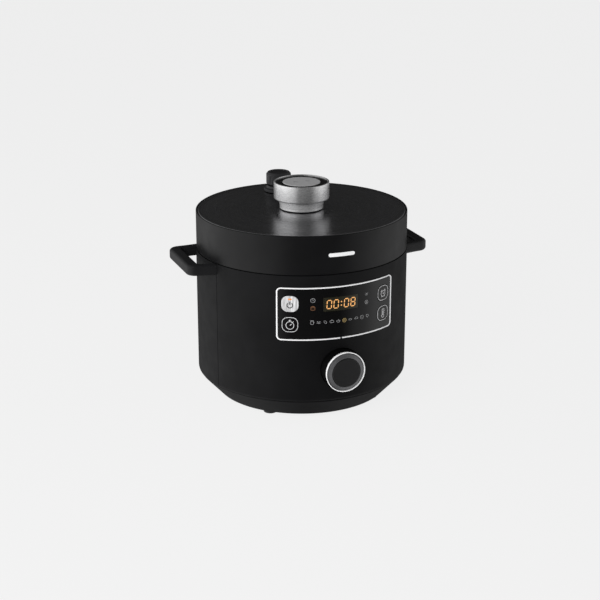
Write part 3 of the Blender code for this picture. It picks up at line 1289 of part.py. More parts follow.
# ---------------------------------------------------------------------- lid valves
def make_steam_valve():
    """The vent pipe, its filter, the valve's base and the cap that turns on it."""
    pipe_top = VALVE_TOP_Z - VALVE_ROOF
    pipe_points = [
        (VENT_RADIUS, pipe_top),
        (VENT_RADIUS, PRESSURE_LID_BOTTOM_Z - VENT_STUB),
        (VENT_RADIUS - VENT_WALL, PRESSURE_LID_BOTTOM_Z - VENT_STUB),
        (VENT_RADIUS - VENT_WALL, pipe_top),
    ]
    pipe = turned("vent_pipe", pipe_points, "steel", SMALL_STEPS, True)
    filter_top = PRESSURE_LID_BOTTOM_Z - GAP
    filter_bottom = filter_top - VENT_FILTER_HEIGHT
    filter_bore = VENT_RADIUS + VENT_FILTER_LIP
    filter_points = [
        (filter_bore, filter_top),
        (VENT_FILTER_RADIUS, filter_top),
        (VENT_FILTER_RADIUS, filter_bottom + VENT_FILTER_EDGE),
        (VENT_FILTER_RADIUS - VENT_FILTER_EDGE, filter_bottom),
        (VENT_FILTER_HOLE, filter_bottom),
        (VENT_FILTER_HOLE, filter_bottom + VENT_FILTER_WALL),
        (VENT_FILTER_RADIUS - VENT_FILTER_EDGE - VENT_FILTER_WALL * 0.4, filter_bottom + VENT_FILTER_WALL),
        (VENT_FILTER_RADIUS - VENT_FILTER_WALL, filter_bottom + VENT_FILTER_EDGE + VENT_FILTER_WALL * 0.6),
        (VENT_FILTER_RADIUS - VENT_FILTER_WALL, filter_top - VENT_FILTER_WALL),
        (filter_bore, filter_top - VENT_FILTER_WALL),
    ]
    vent_filter = turned("vent_filter", filter_points, "steel", 24, True)
    base_low = LID_TOP_Z + GAP
    base_high = base_low + VALVE_BASE_HEIGHT
    cap_low = VALVE_TOP_Z - VALVE_CAP_HEIGHT
    neck_top = cap_low + VALVE_NECK_RISE
    base_bore = VENT_RADIUS + GAP
    base_points = [
        (VALVE_NECK_RADIUS, neck_top),
        (VALVE_NECK_RADIUS, base_high),
        (VALVE_BASE_RADIUS - VALVE_BASE_EDGE, base_high),
        (VALVE_BASE_RADIUS, base_high - VALVE_BASE_EDGE),
        (VALVE_BASE_RADIUS, base_low),
        (base_bore, base_low),
        (base_bore, neck_top),
    ]
    base = turned("steam_valve_base", base_points, "black_plastic", SMALL_STEPS, True)
    cap_inner = VALVE_NECK_RADIUS + TURNING_CLEARANCE
    cap_bore = VENT_RADIUS + TURNING_CLEARANCE
    cap_points = [
        (0.0, VALVE_TOP_Z),
        (VALVE_CAP_RADIUS - VALVE_CAP_CHAMFER, VALVE_TOP_Z),
        (VALVE_CAP_RADIUS, VALVE_TOP_Z - VALVE_CAP_CHAMFER),
        (VALVE_CAP_RADIUS, cap_low),
        (cap_inner, cap_low),
        (cap_inner, neck_top + TURNING_CLEARANCE),
        (cap_bore, neck_top + TURNING_CLEARANCE),
        (cap_bore, pipe_top + TURNING_CLEARANCE),
        (0.0, pipe_top + TURNING_CLEARANCE),
    ]
    cap = turned("steam_valve_cap", cap_points, "black_plastic", SMALL_STEPS)
    for piece in (pipe, vent_filter, base, cap):
        piece.location = VALVE_PLACE
    joint_empty("steam_valve_axis", VALVE_PLACE + Vector((0.0, 0.0, cap_low)), [cap])


def make_float_valve():
    """The float pin that rises under pressure, and its guide on the pressure lid."""
    place = on_body(FLOAT_HEADING, VALVE_OFFSET, 0.0)
    guide_low = PRESSURE_LID_TOP_Z + GAP
    guide_high = guide_low + FLOAT_GUIDE_HEIGHT
    bore = FLOAT_RADIUS + TURNING_CLEARANCE
    guide_points = [
        (FLOAT_GUIDE_RADIUS - GUIDE_EDGE, guide_high),
        (FLOAT_GUIDE_RADIUS, guide_high - GUIDE_EDGE),
        (FLOAT_GUIDE_RADIUS, guide_low),
        (bore, guide_low),
        (bore, guide_high),
    ]
    guide = turned("float_guide", guide_points, "steel", 24, True)
    top = LID_TOP_Z - LID_PLATE_DISH
    bottom = PRESSURE_LID_BOTTOM_Z - 0.0055
    foot_high = PRESSURE_LID_BOTTOM_Z - FLOAT_TRAVEL - FLOAT_STOP_GAP
    foot_radius = FLOAT_RADIUS * FLOAT_FOOT_SHARE
    pin_points = [
        (0.0, top),
        (FLOAT_RADIUS, top),
        (FLOAT_RADIUS, foot_high),
        (foot_radius, foot_high),
        (foot_radius, foot_high - FLOAT_FOOT_THICKNESS),
        (0.0, foot_high - FLOAT_FOOT_THICKNESS),
    ]
    pin = turned("float_pin", pin_points, "silver", 24)
    for piece in (guide, pin):
        piece.location = place
    joint_empty("float_axis", (place.x, place.y, bottom), [pin])


# --------------------------------------------------------------------------- hinge
def lying_cylinder(name, radius, low_x, high_x):
    """A cylinder along X on the hinge line."""
    obj = add_cutter(name, cylinder_mesh(name, radius, high_x - low_x, 24))
    obj.rotation_euler.y = math.pi / 2
    obj.location = ((low_x + high_x) / 2, HINGE_Y, HINGE_Z)
    return obj


def round_core(name, radius):
    """A wide cylinder on the cooker's axis that shapes what lies against the body."""
    core = add_cutter(name, cylinder_mesh(name, radius, 1.0, 96))
    return core


def make_hinge():
    """The bracket on the body, the arm on the lid and the pin through both."""
    arm_half = HINGE_ARM_HALF_WIDTH
    ear = arm_half + HINGE_SIDE_GAP
    plate_back = HINGE_Y - HINGE_KNUCKLE_RADIUS - GAP
    plate_low = (-HINGE_HALF_WIDTH, BODY_RADIUS - HINGE_PLATE_DEPTH,
            HINGE_Z - HINGE_PLATE_HEIGHT + HINGE_KNUCKLE_RADIUS)
    plate_high = (HINGE_HALF_WIDTH, plate_back, HINGE_Z + HINGE_KNUCKLE_RADIUS)
    bracket = add_piece("hinge_bracket", block_mesh("hinge_bracket", plate_low, plate_high), "black_plastic")
    for index, side in enumerate((-1, 1)):
        near = min(side * ear, side * HINGE_HALF_WIDTH)
        far = max(side * ear, side * HINGE_HALF_WIDTH)
        low = (near, BODY_RADIUS - HINGE_LUG_DEPTH, HINGE_Z - HINGE_KNUCKLE_RADIUS)
        high = (far, HINGE_Y, HINGE_Z + HINGE_KNUCKLE_RADIUS)
        join(bracket, add_cutter("ear_block_%d" % index, block_mesh("ear_block", low, high)))
        join(bracket, lying_cylinder("ear_round_%d" % index, HINGE_KNUCKLE_RADIUS, near, far))
    cut(bracket, round_core("body_core", BODY_RADIUS + GAP))
    bore = HINGE_PIN_RADIUS + GAP
    cut(bracket, lying_cylinder("bracket_bore", bore, -HINGE_HALF_WIDTH - CUT_PAST,
            HINGE_HALF_WIDTH + CUT_PAST))

    foot_low = (-arm_half, HINGE_Y - HINGE_KNUCKLE_RADIUS, HINGE_Z)
    foot_high = (arm_half, HINGE_Y, LID_BOTTOM_Z + 0.003)
    arm = add_piece("hinge_arm", block_mesh("hinge_arm", foot_low, foot_high), "black_plastic")
    join(arm, lying_cylinder("arm_round", HINGE_KNUCKLE_RADIUS, -arm_half, arm_half))
    tongue_low = (-arm_half, BODY_RADIUS - 0.006, LID_BOTTOM_Z)
    tongue_high = (arm_half, HINGE_Y - 0.001, LID_BOTTOM_Z + HINGE_ARM_HEIGHT)
    join(arm, add_cutter("arm_tongue", block_mesh("arm_tongue", tongue_low, tongue_high)))
    cut(arm, round_core("lid_core", LID_RADIUS + GAP))
    cut(arm, lying_cylinder("arm_bore", bore, -arm_half - CUT_PAST, arm_half + CUT_PAST))

    pin_mesh = cylinder_mesh("hinge_pin", HINGE_PIN_RADIUS, 2 * HINGE_HALF_WIDTH, 24)
    pin = add_piece("hinge_pin", pin_mesh, "steel")
    pin.rotation_euler.y = math.pi / 2
    pin.location = (0.0, HINGE_Y, HINGE_Z)
    return arm


# ------------------------------------------------------------------ condensate cup
def make_cup():
    """The condensate cup at the back, and the rail that it hangs on."""
    half = CUP_WIDTH / 2
    cup_mesh = block_mesh("condensate_cup", (-half, CUP_FRONT, CUP_BOTTOM_Z), (half, CUP_BACK, CUP_TOP_Z))
    cup = add_piece("condensate_cup", cup_mesh, "clear_plastic")
    bevel(cup, CUP_ROUNDING, 2)
    hollow_low = (-half + CUP_WALL, CUP_FRONT + CUP_WALL, CUP_BOTTOM_Z + CUP_WALL)
    hollow_high = (half - CUP_WALL, CUP_BACK - CUP_WALL, CUP_TOP_Z + 0.010)
    cut(cup, add_cutter("cup_hollow", block_mesh("cup_hollow", hollow_low, hollow_high)))
    joint_empty("cup_axis", (0.0, CUP_FRONT, CUP_TOP_Z), [cup])

    rail_low = (-half, BODY_RADIUS - RAIL_DEPTH, CUP_BOTTOM_Z + 0.006)
    rail_high = (half, BODY_RADIUS + RAIL_THICKNESS, CUP_TOP_Z - 0.004)
    rail = add_piece("cup_rail", block_mesh("cup_rail", rail_low, rail_high), "black_plastic")
    cut(rail, round_core("rail_core", BODY_RADIUS + GAP))


def shade_round_pieces():
    """Shade every mesh smooth, with sharp edges kept."""
    for obj in PARTS.objects:
        if obj.type == 'MESH':
            obj.data.shade_smooth()
            obj.data.set_sharp_from_angle(angle=SHARP_ANGLE)


clear_scene()
PARTS = new_collection("pressure_cooker")
CUTTERS = new_collection("cutters")
MATERIALS = {name: finish(name, *values) for name, values in FINISHES.items()}
make_base()
make_shells()
make_feet()
make_handles()
make_collar()
make_pressure_frame()
make_heater()
make_inner_pot()
make_sensor()
make_boards()
make_inlet()
make_panel()
make_dial()
make_lid_cover()
make_lid_plate()
make_liner()
make_pressure_lid()
make_seal()
make_mark()
make_knob()
make_steam_valve()
make_float_valve()
make_hinge()
make_cup()
shade_round_pieces()
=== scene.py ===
"""Electric pressure cooker: fine surfaces, finishes, studio light and camera.

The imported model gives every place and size. A heading is an angle from the
front (-Y) about +Z, positive towards +X, and a rise or reach is in metres.
"""
import math

import bmesh
import bpy
import numpy as np
from bpy.props import FloatProperty, FloatVectorProperty, IntProperty, PointerProperty
from bpy.types import Operator, Panel, PropertyGroup
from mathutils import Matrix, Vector


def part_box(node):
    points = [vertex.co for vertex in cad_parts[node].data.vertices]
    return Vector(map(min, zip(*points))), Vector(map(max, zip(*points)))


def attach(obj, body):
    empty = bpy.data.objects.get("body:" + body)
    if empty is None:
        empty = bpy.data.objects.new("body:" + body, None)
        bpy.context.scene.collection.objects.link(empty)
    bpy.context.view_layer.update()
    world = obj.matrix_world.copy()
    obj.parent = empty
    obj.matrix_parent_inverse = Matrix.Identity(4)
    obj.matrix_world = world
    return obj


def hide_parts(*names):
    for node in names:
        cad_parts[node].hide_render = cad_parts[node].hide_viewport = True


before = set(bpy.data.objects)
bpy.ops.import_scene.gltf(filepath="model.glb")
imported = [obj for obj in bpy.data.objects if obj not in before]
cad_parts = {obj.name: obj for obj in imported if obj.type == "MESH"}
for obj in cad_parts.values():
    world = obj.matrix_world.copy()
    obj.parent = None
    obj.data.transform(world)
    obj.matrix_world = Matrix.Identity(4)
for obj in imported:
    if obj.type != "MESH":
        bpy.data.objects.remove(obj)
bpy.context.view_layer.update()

bl_info = {
    "name": "Electric Pressure Cooker",
    "version": (1, 0, 0),
    "blender": (4, 5, 0),
    "location": "View3D > Sidebar > Cooker",
    "description": "Makes the fine surfaces, finishes and studio of a pressure cooker",
    "category": "Object",
}

TURN = 2 * math.pi


# ------------------------------------------------------------ places in the frame
def low(node):
    """A node's lowest corner."""
    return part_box(node)[0]


def high(node):
    """A node's highest corner."""
    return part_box(node)[1]


def middle(node):
    """The middle of a node's box."""
    return (low(node) + high(node)) / 2


def half_span(node, axis=0):
    """Half of a node's size along an axis, which is its radius if it is round."""
    return (high(node)[axis] - low(node)[axis]) / 2


GAP = 0.0003                          # clearance between two pieces
WALL_THICKNESS = 0.0022               # front and rear walls
WALL_FOOT = 0.0045                    # height of the walls' curled foot
SEAM_HEADING = math.radians(72.0)     # seams between the front and rear walls
INSIDE_WALL = 0.130                   # how near the axis the pieces behind the rear wall start
BODY_RADIUS = -low("front_shell").y
LID_RADIUS = half_span("lid_cover")
SHELL_LOW = low("front_shell").z
SHELL_TOP = high("front_shell").z
LID_LOW = low("lid_cover").z
LID_TOP = high("lid_cover").z
DIAL_Z = middle("dial_rim").z
PANEL_Z = middle("control_panel").z
PANEL_HALF = high("control_panel").x
PANEL_HALF_HEIGHT = half_span("control_panel", 2)
LINE_HALF_HEIGHT = half_span("panel_frame", 2)
HINGE_Y = middle("hinge_pin").y
HINGE_Z = middle("hinge_pin").z
VALVE_PLACE = Vector((middle("steam_valve_cap").x, middle("steam_valve_cap").y, 0.0))
FLOAT_PLACE = middle("float_pin")


# ---------------------------------------------------------------- what a user sets
class CookerSizes(PropertyGroup):
    """Roundings and fineness of the surfaces."""
    steps: IntProperty(
        name="Steps round", description="Faces round a turned piece", default=192, min=48, max=384)
    edge: FloatProperty(
        name="Edge", description="Rounding of a moulded edge", default=0.0006, subtype='DISTANCE',
        unit='LENGTH')
    seam: FloatProperty(
        name="Seam", description="Gap between the front and rear walls", default=0.0007,
        subtype='DISTANCE', unit='LENGTH')
    handle_edge: FloatProperty(
        name="Handle edge", description="Rounding of the side handles", default=0.0040,
        subtype='DISTANCE', unit='LENGTH')
    knob_edge: FloatProperty(
        name="Knob foot", description="Rounding of the knob's lower edge", default=0.0022,
        subtype='DISTANCE', unit='LENGTH')
    print_width: FloatProperty(
        name="Print width", description="Width of a printed line", default=0.00065,
        subtype='DISTANCE', unit='LENGTH')


class CookerColours(PropertyGroup):
    """Colours of the finishes."""
    body: FloatVectorProperty(
        name="Body", description="Satin black of the walls", default=(0.0045, 0.0045, 0.0049),
        subtype='COLOR')
    lid: FloatVectorProperty(
        name="Lid", description="Lacquered black of the lid", default=(0.0035, 0.0035, 0.0038),
        subtype='COLOR')
    panel: FloatVectorProperty(
        name="Panel", description="Gloss black of the panel", default=(0.0016, 0.0016, 0.0017),
        subtype='COLOR')
    silver: FloatVectorProperty(
        name="Silver", description="Brushed metal of the knob", default=(0.93, 0.93, 0.94), subtype='COLOR')
    disc: FloatVectorProperty(
        name="Disc", description="Grey of the knob's disc", default=(0.48, 0.48, 0.485), subtype='COLOR')
    ink: FloatVectorProperty(
        name="Ink", description="Light grey of the printed signs", default=(0.60, 0.60, 0.61),
        subtype='COLOR')
    digits: FloatVectorProperty(
        name="Digits", description="Glow of the display", default=(1.0, 0.50, 0.17), subtype='COLOR')


class CookerStudio(PropertyGroup):
    """Camera, light and floor."""
    distance: FloatProperty(
        name="Distance", description="Camera from the cooker's axis, level", default=1.9332,
        subtype='DISTANCE', unit='LENGTH')
    aside: FloatProperty(
        name="Aside", description="Camera's line to the right of the axis", default=-0.0021,
        subtype='DISTANCE', unit='LENGTH')
    height: FloatProperty(
        name="Height", description="Camera above the floor", default=0.7783, subtype='DISTANCE',
        unit='LENGTH')
    heading: FloatProperty(
        name="Heading", description="Camera's heading from the front", default=math.radians(-20.98),
        subtype='ANGLE', unit='ROTATION')
    pitch: FloatProperty(
        name="Pitch", description="Camera's tilt below level", default=math.radians(18.60),
        subtype='ANGLE', unit='ROTATION')
    lens: FloatProperty(name="Lens", description="Focal length in millimetres", default=87.65)
    backdrop: FloatVectorProperty(
        name="Backdrop", description="Pale grey of the floor and the room", default=(0.863, 0.863, 0.863),
        subtype='COLOR')
    fill: FloatProperty(name="Fill", description="Brightness of the room that the cooker mirrors",
                        default=1.0)


# ------------------------------------------------------------------ numpy surfaces
def grid_faces(rows, columns, wrap_rows, wrap_columns):
    """Quads of a grid of points; a wrapped direction joins its last line to its first."""
    row = np.arange(rows if wrap_rows else rows - 1)[:, None]
    column = np.arange(columns if wrap_columns else columns - 1)[None, :]
    row_after = (row + 1) % rows
    column_after = (column + 1) % columns
    corners = (row * columns + column, row * columns + column_after,
               row_after * columns + column_after, row_after * columns + column)
    return np.stack(corners, axis=-1).reshape(-1, 4)


def sheet(points, wrap_rows=False, wrap_columns=False, caps=False):
    """A grid of points as (points, faces); caps close its first and last rows with one face each."""
    rows, columns = points.shape[:2]
    faces = grid_faces(rows, columns, wrap_rows, wrap_columns).tolist()
    if caps:
        faces.append(list(range(columns))[::-1])
        faces.append(list(range((rows - 1) * columns, rows * columns)))
    return points.reshape(-1, 3), faces


def rounded_path(corners, arc_steps=6, straight_steps=1, closed=False):
    """Points along straight lines whose corners (x, y, radius) are arcs that touch both sides:
    an arc's centre lies on the corner's bisector at radius / sin(half its angle)."""
    spots = np.array([corner[:2] for corner in corners], float)
    radii = [corner[2] if len(corner) > 2 else 0.0 for corner in corners]
    count = len(spots)
    arcs = []
    for i in range(count):
        at_end = not closed and i in (0, count - 1)
        if at_end or radii[i] <= 0.0:
            arcs.append(spots[i][None])
            continue
        before = spots[i - 1] - spots[i]
        after = spots[(i + 1) % count] - spots[i]
        before = before / np.linalg.norm(before)
        after = after / np.linalg.norm(after)
        half = math.acos(float(np.clip(before @ after, -1.0, 1.0))) / 2
        bisector = (before + after) / np.linalg.norm(before + after)
        centre = spots[i] + bisector * radii[i] / math.sin(half)
        first = spots[i] + before * radii[i] / math.tan(half) - centre
        last = spots[i] + after * radii[i] / math.tan(half) - centre
        opening = math.pi - 2 * half
        share = np.linspace(0.0, 1.0, arc_steps + 1)[:, None]
        spoke = (np.sin((1 - share) * opening) * first + np.sin(share * opening) * last) / math.sin(opening)
        arcs.append(centre + spoke)
    path = []
    for i, arc in enumerate(arcs):
        path.append(arc)
        if i < count - 1 or closed:
            share = np.linspace(0.0, 1.0, straight_steps + 1)[1:-1, None]
            path.append(arc[-1] + (arcs[(i + 1) % count][0] - arc[-1]) * share)
    return np.concatenate(path)


def turned(profile, steps, place=(0.0, 0.0, 0.0), facing_front=False, ring=False):
    """A profile of (radius, height) carried round: x = r sin a, y = -r cos a, z = height.
    Facing the front, the height runs towards -Y and r cos a runs up."""
    angle = np.linspace(0.0, TURN, steps, endpoint=False)[None, :]
    radius = profile[:, 0][:, None]
    height = profile[:, 1][:, None] + 0.0 * angle
    across = radius * np.sin(angle)
    along = radius * np.cos(angle)
    axes = (across, -height, along) if facing_front else (across, -along, height)
    return sheet(np.stack(axes, axis=-1) + np.array(place), ring, True)


def on_body(heading, height, radius):
    """The point at a heading and a radius: x = radius sin(heading), y = -radius cos(heading)."""
    heading, height, radius = np.broadcast_arrays(heading, height, radius)
    return np.stack((radius * np.sin(heading), -radius * np.cos(heading), height), axis=-1)


def chord_heading(across):
    """The heading whose sine is across / body radius, for an outline seen straight on."""
    return np.arcsin(np.clip(across / BODY_RADIUS, -1.0, 1.0))


def rounded_loop(half_width, half_height, radii, counts=(12, 12), corner_steps=6, centre=(0.0, 0.0)):
    """A rectangle's outline, counter-clockwise from the lower left, with an arc at each corner
    (lower right, upper right, upper left, lower left) and evenly split sides."""
    quarter = np.linspace(0.0, math.pi / 2, corner_steps + 1)
    corners = []
    for index, (x_sign, y_sign) in enumerate(((1, -1), (1, 1), (-1, 1), (-1, -1))):
        radius = radii[index]
        angle = quarter + (index - 1) * math.pi / 2
        x = x_sign * (half_width - radius) + radius * np.cos(angle)
        y = y_sign * (half_height - radius) + radius * np.sin(angle)
        corners.append(np.stack((x, y), axis=-1))
    loop = []
    for index in range(4):
        start = corners[index - 1][-1]
        end = corners[index][0]
        share = np.linspace(0.0, 1.0, counts[index % 2] + 1)[1:-1, None]
        loop += [start + (end - start) * share, corners[index]]
    return np.concatenate(loop) + np.array(centre)


def hole_patch(outer, inner, rings):
    """Rings of points that go in straight lines from an outer outline to an inner one."""
    share = np.linspace(0.0, 1.0, rings + 1)[:, None, None]
    return outer[None] * (1 - share) + inner[None] * share


def disc_rows(corner_radius, rows):
    """A rounded outline's inset, scale and depth for each row of a solid, from arrays of triples."""
    table = np.array(rows, float)
    return np.minimum(table[:, 0], corner_radius * 0.9), table[:, 1], table[:, 2]


def outline_solid(half_width, half_height, corner, rows, counts=(8, 8)):
    """Loops of a rounded rectangle: row i is drawn in by its inset, scaled about the middle and
    set at its depth, so that a scale of nought closes an end. Gives (x, y, depth) rows."""
    inset, scale, depth = disc_rows(corner, rows)
    loops = []
    for step in range(len(depth)):
        d = inset[step]
        loop = rounded_loop(half_width - d, half_height - d, (corner - d,) * 4, counts)
        flat = loop * scale[step]
        loops.append(np.concatenate((flat, np.full((len(flat), 1), depth[step])), axis=1))
    return np.array(loops)


def key_rows(back, front, edge):
    """Rows of a plate with a flat back and a rounded front edge."""
    angle = np.linspace(0.0, math.pi / 2, 5)
    rows = [(0.0, 0.0, back), (0.0, 1.0, back)]
    rows += [(edge * (1 - math.cos(a)), 1.0, front - edge * (1 - math.sin(a))) for a in angle]
    rows += [(edge, s, front) for s in (0.85, 0.6, 0.3, 0.0)]
    return rows


def wrapped_solid(half_width, half_height, corner, rows, heading, height, radius, counts=(8, 8)):
    """An outline solid bent round the body: its x is an across distance about a heading."""
    solid = outline_solid(half_width, half_height, corner, rows, counts)
    turn = heading + np.arcsin(solid[..., 0] / radius)
    return sheet(on_body(turn, height + solid[..., 1], radius + solid[..., 2]), False, True)


def rounded_box(low_corner, high_corner, radius, steps=4):
    """A box with round edges: each octant of a sphere of that radius is moved to its own corner,
    and the grid's long faces between the octants are the box's sides."""
    low_corner = np.array(low_corner, float)
    high_corner = np.array(high_corner, float)
    centre = (low_corner + high_corner) / 2
    core = (high_corner - low_corner) / 2 - radius
    quarter = np.linspace(0.0, math.pi / 2, steps + 1)
    turn = np.concatenate([quarter + q * math.pi / 2 for q in range(4)])
    sign_x = np.repeat((1, -1, -1, 1), steps + 1)
    sign_y = np.repeat((1, 1, -1, -1), steps + 1)
    rise = np.concatenate((quarter - math.pi / 2, quarter))
    sign_z = np.repeat((-1, 1), steps + 1)
    level = np.cos(rise)[:, None]
    x = sign_x * core[0] + radius * level * np.cos(turn)
    y = sign_y * core[1] + radius * level * np.sin(turn)
    z = (sign_z * core[2] + radius * np.sin(rise))[:, None] + 0.0 * x
    return sheet(np.stack((x, y, z), axis=-1) + centre, False, True, True)


def along_x(outline, stations, hug):
    """An outline of (y, z) carried along X, and pushed back to stay outside a round wall:
    y is at least the square root of hug squared less x squared."""
    x = np.array(stations, float)[:, None]
    y = np.maximum(outline[:, 0][None], np.sqrt(hug ** 2 - x ** 2))
    z = outline[:, 1][None] + 0.0 * x
    return sheet(np.stack((x + 0.0 * y, y, z), axis=-1), False, True, True)


def ribbon(path, width, closed=False):
    """The four edges of a flat line: each point of the path goes half a width to either side,
    at a low and a high level. Gives rows of (x, y, level), with the level nought or one."""
    path = np.array(path, float)
    if closed:
        along = np.roll(path, -1, axis=0) - np.roll(path, 1, axis=0)
    else:
        along = np.gradient(path, axis=0)
    along /= np.linalg.norm(along, axis=1)[:, None]
    side = np.stack((-along[:, 1], along[:, 0]), axis=-1) * width / 2
    edges = (path - side, path + side, path + side, path - side)
    levels = (0.0, 0.0, 1.0, 1.0)
    rows = [np.concatenate((edge, np.full((len(path), 1), level)), axis=1)
            for edge, level in zip(edges, levels)]
    return np.stack(rows, axis=1)


def arc(centre, radius, first=0.0, last=360.0, count=28):
    """Points of an arc, with its angles in degrees from +X."""
    angle = np.radians(np.linspace(first, last, count))
    return np.stack((centre[0] + radius * np.cos(angle), centre[1] + radius * np.sin(angle)), axis=-1)


def line(*points):
    """Points of a broken line, each stretch in four."""
    points = np.array(points, float)
    share = np.linspace(0.0, 1.0, 5)[:-1, None]
    parts = [a + (b - a) * share for a, b in zip(points[:-1], points[1:])]
    return np.concatenate(parts + [points[-1:]])


def ring_line(path):
    """A closed line: its last point is its first one again, so it is left out."""
    return path[:-1], True


# ------------------------------------------------------------------ making a piece
def joined(parts):
    """Several (points, faces) as one mesh's points and faces."""
    points = np.concatenate([part[0] for part in parts])
    faces = []
    start = 0
    for spots, quads in parts:
        faces += [[start + i for i in face] for face in quads]
        start += len(spots)
    return points, faces


def clean_mesh(name, parts, closed):
    """A mesh from parts, with poles and shared edges merged; a closed one is turned outwards."""
    points, faces = joined(parts)
    mesh = bpy.data.meshes.new(name)
    mesh.from_pydata(points.tolist(), [], faces)
    shape = bmesh.new()
    shape.from_mesh(mesh)
    bmesh.ops.remove_doubles(shape, verts=shape.verts, dist=0.0000005)
    bmesh.ops.dissolve_degenerate(shape, edges=shape.edges, dist=0.0000002)
    if closed:
        bmesh.ops.recalc_face_normals(shape, faces=shape.faces)
    shape.to_mesh(mesh)
    shape.free()
    mesh.shade_smooth()
    mesh.set_sharp_from_angle(angle=math.radians(38.0))
    return mesh


def settle(obj):
    """Apply an object's modifiers, with normals that follow its large faces."""
    normals = obj.modifiers.new("normals", 'WEIGHTED_NORMAL')
    normals.weight = 100
    normals.keep_sharp = True
    graph = bpy.context.evaluated_depsgraph_get()
    graph.update()
    mesh = bpy.data.meshes.new_from_object(obj.evaluated_get(graph))
    mesh.name = obj.name
    obj.modifiers.clear()
    obj.data = mesh


def piece(name, parts, body, finish, stands_for=None, wall=0.0, edge=0.0, holes=()):
    """Make a piece of the cooker: its mesh, an optional wall and edge rounding, holes and finish.
    It rides on a body and stands for CAD nodes, which are those of its own name if none are given."""
    mesh = clean_mesh(name, parts, wall == 0.0)
    obj = bpy.data.objects.new(name + "_fine", mesh)
    bpy.context.scene.collection.objects.link(obj)
    if wall:
        thickness = obj.modifiers.new("wall", 'SOLIDIFY')
        thickness.thickness = wall
        thickness.offset = -1.0
        thickness.use_even_offset = True
    for hole in holes:
        boolean = obj.modifiers.new("hole", 'BOOLEAN')
        boolean.object = hole
        boolean.operation = 'DIFFERENCE'
    if edge:
        rounding = obj.modifiers.new("edge", 'BEVEL')
        rounding.width = edge
        rounding.segments = 3
        rounding.limit_method = 'ANGLE'
        rounding.angle_limit = math.radians(50.0)
    settle(obj)
    for hole in holes:
        bpy.data.objects.remove(hole, do_unlink=True)
    obj.data.materials.clear()
    obj.data.materials.append(finish)
    nodes = (name,) if stands_for is None else stands_for
    if nodes:
        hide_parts(*nodes)
    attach(obj, body)
    return obj


def tool(name, part):
    """A closed shape that a piece's hole is cut with."""
    obj = bpy.data.objects.new(name, clean_mesh(name, [part], True))
    bpy.context.scene.collection.objects.link(obj)
    return obj


# ----------------------------------------------------------------------- finishes
class Finish:
    """A material and short ways to add nodes to it."""

    def __init__(self, name, colour, roughness, metallic=0.0):
        self.material = bpy.data.materials.new(name)
        self.material.use_nodes = True
        self.nodes = self.material.node_tree.nodes
        self.links = self.material.node_tree.links
        self.shader = self.nodes["Principled BSDF"]
        self.shader.inputs["Metallic"].default_value = metallic
        self.colour = tuple(colour)
        self.roughness = roughness
        self.place = self.add('ShaderNodeTexCoord').outputs["Object"]

    def add(self, kind, **inputs):
        """Add a node, with values for its inputs."""
        node = self.nodes.new(kind)
        for key, value in inputs.items():
            node.inputs[key.replace("_", " ")].default_value = value
        return node

    def math(self, operation, first, second=None):
        """A Math node on two sockets or numbers."""
        node = self.nodes.new('ShaderNodeMath')
        node.operation = operation
        for index, value in enumerate((first, second)):
            if isinstance(value, (int, float)):
                node.inputs[index].default_value = value
            elif value is not None:
                self.links.new(value, node.inputs[index])
        return node.outputs[0]

    def moved(self, offset):
        """Object coordinates with another origin."""
        shift = self.add('ShaderNodeMapping')
        shift.inputs["Location"].default_value = [-x for x in offset]
        self.links.new(self.place, shift.inputs["Vector"])
        return shift.outputs["Vector"]

    def round_place(self, offset, facing_front, angle_scale, radius_scale, height_scale):
        """Coordinates that run round, outwards and along a turned piece, each with its own scale."""
        parts = self.add('ShaderNodeSeparateXYZ')
        self.links.new(self.moved(offset), parts.inputs[0])
        across, depth, rise = parts.outputs
        second, height = (rise, depth) if facing_front else (depth, rise)
        angle = self.math('ARCTAN2', across, second)
        radius = self.math('SQRT', self.math('ADD', self.math('MULTIPLY', across, across),
                                             self.math('MULTIPLY', second, second)))
        combined = self.add('ShaderNodeCombineXYZ')
        for index, (value, scale) in enumerate(((angle, angle_scale), (radius, radius_scale),
                                                (height, height_scale))):
            self.links.new(self.math('MULTIPLY', value, scale), combined.inputs[index])
        return combined.outputs[0]

    def noise(self, scale, detail=2.0, place=None):
        """A noise pattern's height."""
        node = self.add('ShaderNodeTexNoise', Scale=scale, Detail=detail)
        self.links.new(self.place if place is None else place, node.inputs["Vector"])
        return node.outputs[0]

    def spread(self, value, lowest, highest, first=0.3, last=0.7):
        """Map a pattern's middle stretch to a range."""
        node = self.add('ShaderNodeMapRange', From_Min=first, From_Max=last, To_Min=lowest, To_Max=highest)
        self.links.new(value, node.inputs["Value"])
        return node.outputs[0]

    def tint(self, pattern, darker=0.8, lighter=1.25):
        """Let the base colour wander between a darker and a lighter one."""
        mix = self.nodes.new('ShaderNodeMix')
        mix.data_type = 'RGBA'
        colours = [socket for socket in mix.inputs if socket.type == 'RGBA']
        colours[0].default_value = (*[c * darker for c in self.colour], 1.0)
        colours[1].default_value = (*[min(c * lighter, 1.0) for c in self.colour], 1.0)
        self.links.new(pattern, mix.inputs[0])
        result = next(socket for socket in mix.outputs if socket.type == 'RGBA')
        self.links.new(result, self.shader.inputs["Base Color"])

    def polish(self, pattern, change):
        """Let the roughness wander about its value."""
        rough = self.spread(pattern, self.roughness - change, self.roughness + change)
        self.links.new(rough, self.shader.inputs["Roughness"])

    def bump(self, pattern, depth):
        """Raise the surface by a pattern, to a depth in metres."""
        node = self.add('ShaderNodeBump', Strength=1.0, Distance=depth)
        self.links.new(pattern, node.inputs["Height"])
        self.links.new(node.outputs[0], self.shader.inputs["Normal"])


